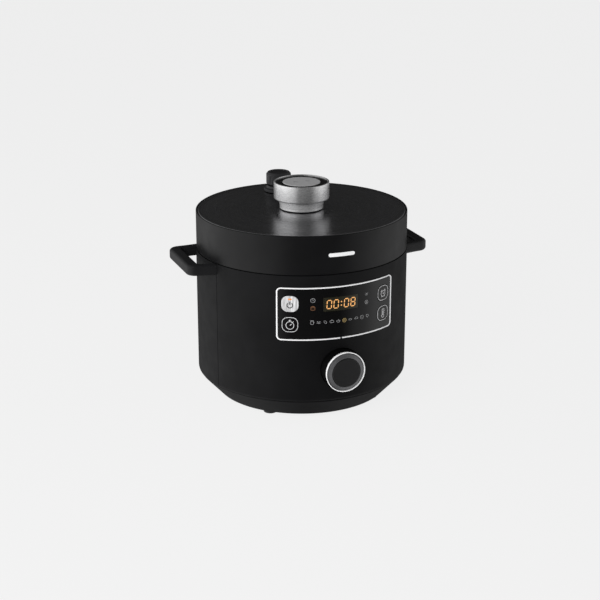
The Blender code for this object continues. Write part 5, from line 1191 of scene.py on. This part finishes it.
# ----------------------------------------------------------------------------- dial
def make_dial(sizes, looks):
    """The dial: skirt, thin bright rim, grey cone in a dark groove, and the flat push button."""
    steps = sizes.steps
    place = (0.0, 0.0, DIAL_Z)
    outer = half_span("dial_rim")
    front = -low("dial_button").y
    rim_front = -low("dial_rim").y
    rim_back = -high("dial_rim").y
    skirt_back = -high("dial_body").y
    body_front = -low("dial_body").y
    skirt_inner = outer - 0.002
    plate_back = body_front - 0.0025
    bore = 0.0033
    hub = rounded_path([
        (outer - GAP, body_front, 0.0003), (outer - GAP, skirt_back), (skirt_inner, skirt_back),
        (skirt_inner, plate_back), (bore, plate_back), (bore, body_front)], closed=True)
    piece("dial_body", [turned(hub, steps, place, True, True)], "dial", looks["dial_side"])
    rim_inner = outer - 0.0011
    rim_foot = outer - 0.0007
    rim = rounded_path([
        (rim_inner, rim_front, 0.0003), (outer, rim_front, 0.0004), (outer, rim_front - 0.0007, 0.0002),
        (rim_foot, rim_front - 0.0010), (rim_foot, rim_back), (rim_inner, rim_back)], closed=True)
    piece("dial_rim", [turned(rim, steps, place, True, True)], "dial", looks["dial_chrome"])
    face_inner = half_span("dial_button") + 0.0006
    edge = rim_inner - GAP
    groove = edge - 0.0010
    groove_floor = rim_back + 0.0008
    cone = rounded_path([
        (face_inner, front - 0.0007, 0.0003), (groove, rim_front - 0.0010, 0.0003),
        (groove, groove_floor), (edge, groove_floor), (edge, rim_back), (face_inner, rim_back)], closed=True)
    piece("dial_face", [turned(cone, steps, place, True, True)], "dial", looks["dial_cone"])
    radius = half_span("dial_button")
    back = -high("dial_button").y
    button = rounded_path([(0.0, front), (radius, front, 0.0009), (radius, back, 0.0003), (0.0, back)],
                          straight_steps=3)
    piece("dial_button", [turned(button, steps, place, True)], "dial_push", looks["dial_disc"])


# ------------------------------------------------------------------------------ lid
FLOAT_FOOT_SHARE = 1.8                # radius of the float pin's foot as a share of its stem's


def make_lid(sizes, looks):
    """The lid's side wall, its top plate with the float pin's hole, and the plain bar on its front."""
    steps = sizes.steps
    wall = 0.0025
    rim = LID_RADIUS - 0.0017
    plate_low = low("lid_plate").z
    seat = plate_low - GAP
    inner = LID_RADIUS - wall
    ledge = inner - 0.006
    ring = rounded_path([
        (rim, LID_TOP, 0.0004), (LID_RADIUS, LID_TOP, 0.0011), (LID_RADIUS, LID_LOW, sizes.edge),
        (inner, LID_LOW, 0.0003), (inner, seat - wall), (ledge, seat - wall), (ledge, seat),
        (rim, seat)], closed=True)
    piece("lid_cover", [turned(ring, steps, ring=True)], "lid", looks["lid_side"])
    edge = half_span("lid_plate")
    dish = 0.0006
    hole = 0.0075
    plate = rounded_path([
        (hole, LID_TOP - dish, 0.0002), (edge - 0.0080, LID_TOP - dish, 0.006),
        (edge - 0.0014, LID_TOP - 0.0001, 0.0010), (edge - 0.0004, LID_TOP - 0.0011, 0.0004),
        (edge, plate_low), (hole, plate_low)], 6, 4, True)
    drill_radius = half_span("float_pin") / FLOAT_FOOT_SHARE + 2 * GAP
    drill_top, drill_low = LID_TOP + 0.005, LID_TOP - 0.008
    drill = turned(rounded_path([(0.0, drill_top), (drill_radius, drill_top),
                                 (drill_radius, drill_low), (0.0, drill_low)]),
                   48, (FLOAT_PLACE.x, FLOAT_PLACE.y, 0.0))
    piece("lid_plate", [turned(plate, steps, ring=True)], "lid", looks["lid_plate"],
          holes=[tool("pin_hole", drill)])
    bar = middle("lid_mark")
    half_width, half_height = half_span("lid_mark"), half_span("lid_mark", 2)
    rows = key_rows(0.0, 0.0009, 0.0004)
    mark = wrapped_solid(half_width, half_height, half_height * 0.95, rows, 0.0, bar.z, LID_RADIUS + GAP,
                         (24, 4))
    piece("lid_mark", [mark], "lid", looks["mark"])


def make_knob(sizes, looks):
    """The lid's knob: brushed ring, sunken black cap, grey disc with two signs, and the neck."""
    steps = sizes.steps
    outer = half_span("knob_ring")
    top, bottom = high("knob_ring").z, low("knob_ring").z
    inner = outer - 0.0024
    ring = rounded_path([
        (inner, top, 0.0006), (outer, top, 0.0010), (outer, bottom, sizes.knob_edge), (inner, bottom,
                0.0003)],
        8, 3, True)
    piece("knob_ring", [turned(ring, steps, ring=True)], "lock_knob", looks["knob"])
    cap_top = high("knob_cap").z
    web = low("knob_cap").z
    disc_radius = half_span("knob_disc")
    seat = low("knob_disc").z - GAP
    cap = rounded_path([
        (0.0, seat), (disc_radius + GAP, seat), (disc_radius + GAP, cap_top, 0.0004),
        (inner - GAP, cap_top, 0.0003), (inner - GAP, web), (0.0, web)], straight_steps=2)
    piece("knob_cap", [turned(cap, steps)], "lock_knob", looks["knob_top"])
    disc_top = high("knob_disc").z
    button = rounded_path([(0.0, disc_top - 0.0002), (disc_radius, disc_top, 0.0006), (disc_radius,
            seat + GAP),
                           (0.0, seat + GAP)], straight_steps=3)
    piece("knob_disc", [turned(button, steps)], "lock_knob", looks["knob_disc"])
    signs = []
    closed_lock = [pad_line(2.6, 2.2, 0.8), arc((0.0, 2.2), 1.7, 0.0, 180.0, 14)]
    open_lock = [pad_line(2.6, 2.2, 0.8), arc((1.4, 2.2), 1.7, 40.0, 180.0, 14)]
    for x, paths in ((-0.0085, closed_lock), (0.0085, open_lock)):
        signs += flat_signs(in_millimetres(paths), (x, 0.0), disc_top)
    sign("knob_signs", signs, "lock_knob", looks["dim_print"])
    neck_radius = half_span("knob_neck")
    neck_low = low("knob_neck").z
    waist = neck_radius - 0.0012
    groove = neck_radius - 0.0040
    groove_top = bottom + 0.0002
    bore = 0.0063
    neck_top = high("knob_neck").z
    neck = rounded_path([
        (bore, neck_top), (neck_radius, neck_top, 0.0004), (neck_radius, groove_top, 0.0002),
        (groove, groove_top, 0.0002), (groove, bottom - 0.0010, 0.0002),
        (neck_radius, bottom - 0.0014, 0.0004), (waist, neck_low + 0.0030, 0.002),
        (waist, neck_low, 0.0005), (bore, neck_low)], 6, 2, True)
    piece("knob_neck", [turned(neck, steps, ring=True)], "lock_knob", looks["neck"])


def flat_signs(paths, centre, level, width=0.0007, thick=0.00006):
    """Lines on a level face, seen from the front: x is across and y runs to the back."""
    parts = []
    for path in paths:
        closed = isinstance(path, tuple)
        rows = ribbon(path[0] if closed else path, width, closed)
        height = level - 0.0004 + rows[..., 2] * (0.0004 + thick)
        points = np.stack((centre[0] + rows[..., 0], centre[1] + rows[..., 1], height), axis=-1)
        parts.append(sheet(points, closed, True, not closed))
    return parts


VALVE_NECK = 0.0105                   # radius of the base's neck inside the cap
VENT_BORE = 0.0053                    # radius of the hole round the vent pipe


def fluted_cap(steps):
    """The valve's cap: a turned profile whose radius is drawn in by shallow flutes,
    which are the square of a cosine round it and fade out at the top and the foot."""
    radius = half_span("steam_valve_cap")
    top, bottom = high("steam_valve_cap").z, low("steam_valve_cap").z
    neck = VALVE_NECK + 2 * GAP
    roof = top - 0.0075
    profile = rounded_path([
        (0.0, top - 0.0013), (radius - 0.0050, top - 0.0013, 0.0008), (radius - 0.0040, top, 0.0005),
        (radius - 0.0024, top, 0.0006), (radius, top - 0.0026, 0.0012), (radius, top - 0.0060),
        (radius, bottom + 0.0020), (radius, bottom, 0.0006), (neck, bottom), (neck, roof), (0.0, roof)], 5, 2)
    points, faces = turned(profile, steps)
    x, y, z = points.T
    reach = np.hypot(x, y)
    side = np.clip((reach - (radius - 0.0012)) / 0.0010, 0.0, 1.0)
    fade = np.clip((top - 0.0040 - z) / 0.0030, 0.0, 1.0) * np.clip((z - bottom - 0.0012) / 0.0015, 0.0, 1.0)
    flutes = np.clip(np.cos(9 * np.arctan2(x, y)), 0.0, 1.0) ** 2
    shrink = 1.0 - 0.0008 * flutes * side * fade / np.maximum(reach, 0.001)
    moved = np.stack((x * shrink, y * shrink, z), axis=-1)
    return moved + np.array(VALVE_PLACE), faces


def make_valves(looks):
    """The steam valve's base and cap, and the float pin."""
    place = tuple(VALVE_PLACE)
    radius = half_span("steam_valve_base")
    bottom = low("steam_valve_base").z
    cap_low = low("steam_valve_cap").z
    shoulder = bottom + 0.0078
    neck_top = cap_low + 0.0040
    base = rounded_path([
        (VALVE_NECK, neck_top, 0.0003), (VALVE_NECK, shoulder, 0.0006), (radius - 0.0042, shoulder, 0.0006),
        (radius - 0.0034, shoulder - 0.0030, 0.0010), (radius, shoulder - 0.0042, 0.0010),
        (radius, bottom, 0.0004), (VENT_BORE, bottom), (VENT_BORE, neck_top)], 5, 1, True)
    piece("steam_valve_base", [turned(base, 128, place, ring=True)], "lid", looks["valve"])
    piece("steam_valve_cap", [fluted_cap(180)], "steam_valve", looks["valve"])
    pin = middle("float_pin")
    foot = half_span("float_pin")
    stem = foot / FLOAT_FOOT_SHARE
    top, low_z = high("float_pin").z, low("float_pin").z
    profile = rounded_path([
        (0.0, top), (stem, top, 0.0006), (stem, low_z + 0.0020), (foot, low_z + 0.0020, 0.0004),
        (foot, low_z, 0.0005), (0.0, low_z)], 5, 2)
    piece("float_pin", [turned(profile, 48, (pin.x, pin.y, 0.0))], "float_valve", looks["pin"])


# ------------------------------------------------------------------ hinge and back
def make_hinge(looks):
    """The bracket on the body, the arm on the lid and the pin: outlines carried along the hinge."""
    knuckle = 0.0060
    reach = half_span("hinge_bracket")
    arm = half_span("hinge_arm")
    ear = arm + 0.0005
    back = HINGE_Y - knuckle - GAP
    plate_low = low("hinge_bracket").z
    plate_high = HINGE_Z + knuckle
    hug = BODY_RADIUS + GAP
    plate = rounded_path([(INSIDE_WALL, plate_low), (back, plate_low, 0.002), (back, plate_high),
                          (INSIDE_WALL, plate_high)], 4, 1, True)
    lobe = np.concatenate((arc((HINGE_Y, HINGE_Z), knuckle, -90.0, 90.0, 20),
                           np.array(((INSIDE_WALL, HINGE_Z + knuckle), (INSIDE_WALL, HINGE_Z - knuckle)))))
    parts = [along_x(plate, np.linspace(-reach, reach, 33), hug)]
    for side in (-1, 1):
        stations = np.linspace(*sorted((side * ear, side * reach)), 9)
        parts.append(along_x(lobe, stations, hug))
    piece("hinge_bracket", parts, "cooker_body", looks["valve"], edge=0.0007)
    top = high("hinge_arm").z
    tongue = HINGE_Y - 0.001
    outline = np.concatenate((
        np.array(((INSIDE_WALL, LID_LOW + 0.0001), (HINGE_Y - knuckle, LID_LOW + 0.0001))),
        arc((HINGE_Y, HINGE_Z), knuckle, 180.0, 450.0, 34),
        np.array(((HINGE_Y, LID_LOW + 0.003),)),
        rounded_path([(tongue, LID_LOW + 0.004), (tongue, top, 0.0030), (INSIDE_WALL, top)])))
    part = along_x(outline, np.linspace(-arm, arm, 17), LID_RADIUS + GAP)
    piece("hinge_arm", [part], "lid", looks["valve"], edge=0.0007)
    pin_radius = 0.0020
    pin = turned(rounded_path([(0.0, reach), (pin_radius, reach, 0.0004), (pin_radius, -reach, 0.0004),
                               (0.0, -reach)]), 48)
    x, y, z = pin[0].T
    points = np.stack((z, x + HINGE_Y, y + HINGE_Z), axis=-1)
    piece("hinge_pin", [(points, pin[1])], "cooker_body", looks["steel"])


def make_back(looks):
    """The condensate cup, the rail that it hangs on and the inlet socket."""
    centre = middle("condensate_cup")
    half_width, half_depth = half_span("condensate_cup"), half_span("condensate_cup", 1)
    bottom, top = low("condensate_cup").z, high("condensate_cup").z
    wall = 0.0016
    corner = 0.0040
    angle = np.linspace(0.0, math.pi / 2, 6)
    foot = 0.002
    lip = 0.0004
    floor_inset = wall + 0.0012
    rows = [(foot, s, bottom) for s in (0.0, 0.4, 0.8)]
    rows += [(foot * (1 - math.sin(a)), 1.0, bottom + foot * (1 - math.cos(a))) for a in angle]
    rows += [(0.0, 1.0, top - lip), (lip, 1.0, top), (wall - lip, 1.0, top), (wall, 1.0, top - lip)]
    rows += [(wall, 1.0, bottom + wall + foot), (floor_inset, 1.0, bottom + wall)]
    rows += [(floor_inset, s, bottom + wall) for s in (0.8, 0.4, 0.0)]
    cup = outline_solid(half_width, half_depth, corner, rows, (12, 6))
    cup = cup + np.array((centre.x, centre.y, 0.0))
    piece("condensate_cup", [sheet(cup, False, True)], "cup", looks["clear"])
    rail_low, rail_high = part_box("cup_rail")
    outline = rounded_path([(INSIDE_WALL, rail_low.z), (rail_high.y, rail_low.z, 0.001),
                            (rail_high.y, rail_high.z, 0.001), (INSIDE_WALL, rail_high.z)], 4, 1, True)
    rail = along_x(outline, np.linspace(rail_low.x, rail_high.x, 33), BODY_RADIUS + GAP)
    piece("cup_rail", [rail], "cooker_body", looks["valve"], edge=0.0005)

    socket = middle("inlet_socket")
    half_width, half_height = half_span("inlet_socket"), half_span("inlet_socket", 2)
    front, back = low("inlet_socket").y, high("inlet_socket").y
    wall = 0.003
    rows = [(0.0, 0.0, front), (0.0, 1.0, front), (0.0, 1.0, back - 0.0006), (0.0006, 1.0, back),
            (wall - 0.0008, 1.0, back), (wall, 1.0, back - 0.0008), (wall, 1.0, front + wall),
            (wall, 0.0, front + wall)]
    solid = outline_solid(half_width, half_height, 0.0022, rows)
    points = np.stack((-solid[..., 0], solid[..., 2], socket.z + solid[..., 1]), axis=-1)
    parts = [sheet(points, False, True)]
    pin_half_width, pin_half_height = 0.001, 0.002
    for x, rise in ((-0.007, 0.001), (0.0, 0.0045), (0.007, 0.001)):
        z = socket.z + rise
        parts.append(rounded_box((x - pin_half_width, front + wall / 2, z - pin_half_height),
                                 (x + pin_half_width, back - 0.004, z + pin_half_height), 0.0004))
    piece("inlet_socket", parts, "cooker_body", looks["inner_plastic"])


# --------------------------------------------------------------------------- inside
def make_inside(sizes, looks):
    """What shows when the lid is up: collar, pot, seal, pressure lid and heater."""
    steps = sizes.steps
    collar_out = half_span("top_collar")
    shelf = low("top_collar").z
    wall = 0.0020
    trench_floor = shelf + wall
    frame_radius = BODY_RADIUS - 0.0265
    collar_in = frame_radius + 0.0145
    skirt = SHELL_TOP - 0.010
    plate_z = SHELL_TOP - 0.0024
    collar = rounded_path([
        (collar_out, SHELL_TOP, 0.0004), (collar_out, skirt), (collar_out - wall, skirt),
        (collar_out - wall, plate_z), (collar_in + wall, plate_z), (collar_in + wall, shelf),
        (frame_radius + GAP, shelf), (frame_radius + GAP, trench_floor), (collar_in, trench_floor, 0.0012),
        (collar_in, SHELL_TOP, 0.0012)], 5, 1, True)
    piece("top_collar", [turned(collar, steps, ring=True)], "cooker_body",
          looks["inner_plastic"])

    rim = half_span("inner_pot")
    bottom, top = low("inner_pot").z, high("inner_pot").z
    wall = 0.0015
    outer = rim - 0.0055
    inner = outer - wall
    pot = rounded_path([
        (0.0, bottom + wall), (inner, bottom + wall, 0.0125), (inner, top, 0.0006), (rim, top, 0.0005),
        (rim, top - wall, 0.0005), (outer, top - wall, 0.0003), (outer, bottom, 0.0135), (0.0, bottom)], 9, 3)
    piece("inner_pot", [turned(pot, steps)], "cooker_body", looks["pot"])

    outer = half_span("sealing_ring")
    inner = outer - 0.005
    bottom, top = low("sealing_ring").z, high("sealing_ring").z
    seal = rounded_path([
        (outer, top, 0.0005), (outer, bottom, 0.0012), (outer - 0.0018, bottom, 0.0004),
        (outer - 0.0025, bottom + 0.0010, 0.0004), (inner + 0.0018, bottom, 0.0004), (inner, bottom, 0.0012),
        (inner, top, 0.0005)], 5, 1, True)
    piece("sealing_ring", [turned(seal, steps, ring=True)], "lid", looks["silicone"])

    outer = half_span("pressure_lid")
    skirt = half_span("sealing_ring") + GAP
    bottom, top = low("pressure_lid").z, high("pressure_lid").z
    under = high("sealing_ring").z + GAP
    dome = rounded_path([
        (0.0, top), (outer, top, 0.0012), (outer, bottom, 0.0004), (skirt, bottom, 0.0003), (skirt, under,
                0.0004),
        (0.0, under)], 5, 4)
    drills = []
    for node, radius in (("vent_pipe", VENT_BORE), ("float_pin", 0.0036)):
        spot = middle(node)
        drill = turned(rounded_path([(0.0, top + 0.004), (radius, top + 0.004), (radius, under - 0.004),
                                     (0.0, under - 0.004)]), 48, (spot.x, spot.y, 0.0))
        drills.append(tool(node + "_drill", drill))
    piece("pressure_lid", [turned(dome, steps)], "lid", looks["steel"], holes=drills)

    radius = half_span("heating_plate")
    bottom, top = low("heating_plate").z, high("heating_plate").z
    hole = 0.0130
    plate = rounded_path([(radius, top, 0.0018), (radius, bottom, 0.0005), (hole, bottom), (hole, top,
            0.0008)],
                         5, 2, True)
    piece("heating_plate", [turned(plate, steps, ring=True)], "cooker_body", looks["aluminium"])


CARRIED = {
    "board": ("power_board", "control_board"),
    "inner_plastic": ("lid_liner", "display_module", "encoder"),
    "aluminium": ("pressure_frame", "temperature_sensor"),
    "steel": ("sensor_spring", "drive_shaft", "locking_ring", "dial_shaft", "float_guide"),
    "valve_steel": ("vent_pipe", "vent_filter"),
}


def dress_carried(looks):
    """Give the CAD nodes that stay their finishes."""
    for finish, nodes in CARRIED.items():
        for node in nodes:
            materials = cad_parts[node].data.materials
            materials.clear()
            materials.append(looks[finish])


# --------------------------------------------------------------------------- studio
def heading_vector(heading):
    """The level direction at a heading from the front."""
    return Vector((math.sin(heading), -math.cos(heading), 0.0))


def make_floor(studio):
    """A wide, level, pale floor: rings of points whose spacing grows outwards, closed at its middle."""
    radius = np.concatenate(((0.0,), np.geomspace(0.2, 40.0, 40)))
    profile = np.stack((radius, -0.0002 + 0.0 * radius), axis=-1)
    points, faces = turned(profile, 96)
    mesh = bpy.data.meshes.new("floor")
    mesh.from_pydata(points.tolist(), [], faces)
    shape = bmesh.new()
    shape.from_mesh(mesh)
    bmesh.ops.remove_doubles(shape, verts=shape.verts, dist=0.000001)
    shape.to_mesh(mesh)
    shape.free()
    mesh.flip_normals()
    floor = bpy.data.objects.new("floor", mesh)
    bpy.context.scene.collection.objects.link(floor)
    floor.visible_glossy = False
    floor.visible_shadow = False
    finish = Finish("floor_paper", (0.80, 0.80, 0.80), 0.9)
    finish.tint(finish.noise(3.0, 3.0), 0.995, 1.005)
    finish.shader.inputs["Specular IOR Level"].default_value = 0.0
    glow = finish.add('ShaderNodeEmission', Color=(*studio.backdrop, 1.0), Strength=1.04)
    mix = finish.add('ShaderNodeMixShader', Fac=0.93)
    finish.links.new(finish.shader.outputs[0], mix.inputs[1])
    finish.links.new(glow.outputs[0], mix.inputs[2])
    output = next(node for node in finish.nodes if node.type == 'OUTPUT_MATERIAL')
    finish.links.new(mix.outputs[0], output.inputs["Surface"])
    mesh.materials.append(finish.material)


def make_room(studio):
    """The room: pale where the camera sees it. The cooker mirrors walls whose brightness
    depends on the heading: bright at the left and at the right, dim in front and behind."""
    world = bpy.data.worlds.new("room")
    bpy.context.scene.world = world
    world.use_nodes = True
    nodes, links = world.node_tree.nodes, world.node_tree.links
    nodes.clear()
    direction = nodes.new('ShaderNodeTexCoord')
    turn = nodes.new('ShaderNodeMapping')
    turn.vector_type = 'POINT'
    turn.inputs["Rotation"].default_value = (0.0, 0.0, -studio.heading)
    links.new(direction.outputs["Generated"], turn.inputs["Vector"])
    parts = nodes.new('ShaderNodeSeparateXYZ')
    links.new(turn.outputs["Vector"], parts.inputs[0])

    def calculate(operation, first, second=0.0):
        node = nodes.new('ShaderNodeMath')
        node.operation = operation
        for index, value in enumerate((first, second)):
            if isinstance(value, float):
                node.inputs[index].default_value = value
            else:
                links.new(value, node.inputs[index])
        return node.outputs[0]

    across, depth, rise = parts.outputs
    heading = calculate('ARCTAN2', across, calculate('MULTIPLY', depth, -1.0))
    share = calculate('ADD', calculate('MULTIPLY', heading, 1.0 / TURN), 0.5)
    walls = nodes.new('ShaderNodeValToRGB')
    walls.color_ramp.interpolation = 'EASE'
    stops = walls.color_ramp.elements
    for degrees, _ in WALLS[1:-1]:
        stops.new(degrees / 360.0 + 0.5)
    for stop, (_, level) in zip(stops, WALLS):
        stop.color = (level, level, level, 1.0)
    links.new(share, walls.inputs[0])
    height = nodes.new('ShaderNodeMapRange')
    height.interpolation_type = 'SMOOTHSTEP'
    for socket, value in zip(("From Min", "From Max", "To Min", "To Max"), WALL_FADE):
        height.inputs[socket].default_value = value
    links.new(rise, height.inputs["Value"])
    strength = calculate('MULTIPLY', walls.outputs["Color"], height.outputs["Result"])
    mirrored = nodes.new('ShaderNodeBackground')
    links.new(calculate('MULTIPLY', strength, studio.fill), mirrored.inputs["Strength"])
    pale = nodes.new('ShaderNodeBackground')
    pale.inputs["Color"].default_value = (*studio.backdrop, 1.0)
    rays = nodes.new('ShaderNodeLightPath')
    mix = nodes.new('ShaderNodeMixShader')
    output = nodes.new('ShaderNodeOutputWorld')
    links.new(rays.outputs["Is Camera Ray"], mix.inputs[0])
    links.new(mirrored.outputs[0], mix.inputs[1])
    links.new(pale.outputs[0], mix.inputs[2])
    links.new(mix.outputs[0], output.inputs["Surface"])


# The walls dim from one rise to another (as sines), from a full to a lesser brightness.
WALL_FADE = (0.25, 0.75, 1.0, 0.35)


# Heading from the camera in degrees, and brightness of the wall there.
WALLS = (
    (-180.0, 0.035), (-150.0, 0.28), (-112.0, 1.25), (-70.0, 1.45), (-36.0, 1.00), (-10.0, 0.16),
    (40.0, 0.10), (66.0, 0.70), (88.0, 1.15), (112.0, 0.85), (150.0, 0.22), (180.0, 0.035),
)


# Name, heading from the camera in degrees, distance, height, width, tallness, power, and whether
# the cooker mirrors it.
LIGHTS = (
    ("front_box", -25.0, 2.2, 1.3, 1.6, 1.2, 56.0, False),
    ("left_box", -100.0, 2.0, 0.7, 0.8, 1.4, 6.0, False),
)


def make_lights(studio):
    """Soft boxes aimed at the cooker."""
    aim = Vector((0.0, 0.0, 0.18))
    for name, turn, distance, height, width, tall, power, mirrored in LIGHTS:
        light = bpy.data.lights.new(name, 'AREA')
        light.shape = 'RECTANGLE'
        light.size = width
        light.size_y = tall
        light.energy = power
        obj = bpy.data.objects.new(name, light)
        bpy.context.scene.collection.objects.link(obj)
        obj.location = heading_vector(studio.heading + math.radians(turn)) * distance + Vector((0.0, 0.0,
                height))
        obj.rotation_mode = 'QUATERNION'
        obj.rotation_quaternion = (aim - obj.location).to_track_quat('-Z', 'Y')
        obj.visible_camera = False
        obj.visible_glossy = mirrored


def make_camera(studio):
    """The camera, level with its own heading and tilted down by its pitch."""
    data = bpy.data.cameras.new("camera")
    data.lens = studio.lens
    camera = bpy.data.objects.new("camera", data)
    bpy.context.scene.collection.objects.link(camera)
    back = heading_vector(studio.heading)
    right = Vector((-back.y, back.x, 0.0))
    camera.location = back * studio.distance + right * studio.aside + Vector((0.0, 0.0, studio.height))
    forward = -back * math.cos(studio.pitch) - Vector((0.0, 0.0, math.sin(studio.pitch)))
    camera.rotation_mode = 'QUATERNION'
    camera.rotation_quaternion = forward.to_track_quat('-Z', 'Y')
    bpy.context.scene.camera = camera
    bpy.context.scene.view_settings.view_transform = 'Standard'


# -------------------------------------------------------------------------- add-on
FINISHES = {}


def finishes(context):
    """Every finish, made when the first piece asks for one."""
    if not FINISHES:
        FINISHES.update(make_finishes(context.scene.cooker_colours))
    return FINISHES


class COOKER_OT_walls(Operator):
    """Make the front and rear walls"""
    bl_idname = "cooker.walls"
    bl_label = "Walls"

    def execute(self, context):
        make_walls(context.scene.cooker_sizes, finishes(context))
        return {'FINISHED'}


class COOKER_OT_base(Operator):
    """Make the base, its feet and its screws"""
    bl_idname = "cooker.base"
    bl_label = "Base"

    def execute(self, context):
        make_base(context.scene.cooker_sizes, finishes(context))
        return {'FINISHED'}


class COOKER_OT_handles(Operator):
    """Make the two side handles"""
    bl_idname = "cooker.handles"
    bl_label = "Handles"

    def execute(self, context):
        make_handles(context.scene.cooker_sizes, finishes(context))
        return {'FINISHED'}


class COOKER_OT_panel(Operator):
    """Make the control panel, its line and its window"""
    bl_idname = "cooker.panel"
    bl_label = "Control panel"

    def execute(self, context):
        make_panel(finishes(context))
        return {'FINISHED'}


class COOKER_OT_keys(Operator):
    """Make the four push keys"""
    bl_idname = "cooker.keys"
    bl_label = "Keys"

    def execute(self, context):
        make_keys(finishes(context))
        return {'FINISHED'}


class COOKER_OT_signs(Operator):
    """Make the digits, lamps and printed signs"""
    bl_idname = "cooker.signs"
    bl_label = "Signs"

    def execute(self, context):
        make_signs(context.scene.cooker_sizes, finishes(context))
        return {'FINISHED'}


class COOKER_OT_dial(Operator):
    """Make the dial and its push button"""
    bl_idname = "cooker.dial"
    bl_label = "Dial"

    def execute(self, context):
        make_dial(context.scene.cooker_sizes, finishes(context))
        return {'FINISHED'}


class COOKER_OT_lid(Operator):
    """Make the lid's wall, plate and bar"""
    bl_idname = "cooker.lid"
    bl_label = "Lid"

    def execute(self, context):
        make_lid(context.scene.cooker_sizes, finishes(context))
        return {'FINISHED'}


class COOKER_OT_knob(Operator):
    """Make the lid's knob"""
    bl_idname = "cooker.knob"
    bl_label = "Knob"

    def execute(self, context):
        make_knob(context.scene.cooker_sizes, finishes(context))
        return {'FINISHED'}


class COOKER_OT_valves(Operator):
    """Make the steam valve and the float pin"""
    bl_idname = "cooker.valves"
    bl_label = "Valves"

    def execute(self, context):
        make_valves(finishes(context))
        return {'FINISHED'}


class COOKER_OT_hinge(Operator):
    """Make the hinge's bracket, arm and pin"""
    bl_idname = "cooker.hinge"
    bl_label = "Hinge"

    def execute(self, context):
        make_hinge(finishes(context))
        return {'FINISHED'}


class COOKER_OT_back(Operator):
    """Make the condensate cup, its rail and the inlet socket"""
    bl_idname = "cooker.back"
    bl_label = "Back"

    def execute(self, context):
        make_back(finishes(context))
        return {'FINISHED'}


class COOKER_OT_inside(Operator):
    """Make what shows under the lid, and finish the parts that stay as they are"""
    bl_idname = "cooker.inside"
    bl_label = "Inside"

    def execute(self, context):
        make_inside(context.scene.cooker_sizes, finishes(context))
        dress_carried(finishes(context))
        return {'FINISHED'}


class COOKER_OT_stage(Operator):
    """Make the floor, the room, the lights and the camera"""
    bl_idname = "cooker.stage"
    bl_label = "Stage"

    def execute(self, context):
        studio = context.scene.cooker_studio
        make_floor(studio)
        make_room(studio)
        make_lights(studio)
        make_camera(studio)
        return {'FINISHED'}


OPERATORS = (
    COOKER_OT_walls, COOKER_OT_base, COOKER_OT_handles, COOKER_OT_panel, COOKER_OT_keys, COOKER_OT_signs,
    COOKER_OT_dial, COOKER_OT_lid, COOKER_OT_knob, COOKER_OT_valves, COOKER_OT_hinge, COOKER_OT_back,
    COOKER_OT_inside, COOKER_OT_stage,
)


class COOKER_PT_maker(Panel):
    """Every step of the cooker, in order"""
    bl_idname = "COOKER_PT_maker"
    bl_label = "Pressure cooker"
    bl_space_type = 'VIEW_3D'
    bl_region_type = 'UI'
    bl_category = "Cooker"

    def draw(self, context):
        for group in ("cooker_sizes", "cooker_colours", "cooker_studio"):
            box = self.layout.box()
            settings = getattr(context.scene, group)
            for name in settings.__annotations__:
                box.prop(settings, name)
        for step in OPERATORS:
            self.layout.operator(step.bl_idname)


CLASSES = (CookerSizes, CookerColours, CookerStudio, *OPERATORS, COOKER_PT_maker)


def register():
    """Register the classes and put the settings on the scene."""
    for kind in CLASSES:
        bpy.utils.register_class(kind)
    bpy.types.Scene.cooker_sizes = PointerProperty(type=CookerSizes)
    bpy.types.Scene.cooker_colours = PointerProperty(type=CookerColours)
    bpy.types.Scene.cooker_studio = PointerProperty(type=CookerStudio)


def unregister():
    """Take the settings and the classes away again."""
    del bpy.types.Scene.cooker_studio
    del bpy.types.Scene.cooker_colours
    del bpy.types.Scene.cooker_sizes
    for kind in reversed(CLASSES):
        bpy.utils.unregister_class(kind)


def main():
    """Make the cooker and its stage."""
    register()
    bpy.ops.cooker.walls()
    bpy.ops.cooker.base()
    bpy.ops.cooker.handles()
    bpy.ops.cooker.panel()
    bpy.ops.cooker.keys()
    bpy.ops.cooker.signs()
    bpy.ops.cooker.dial()
    bpy.ops.cooker.lid()
    bpy.ops.cooker.knob()
    bpy.ops.cooker.valves()
    bpy.ops.cooker.hinge()
    bpy.ops.cooker.back()
    bpy.ops.cooker.inside()
    bpy.ops.cooker.stage()


if __name__ == "__main__":
    main()
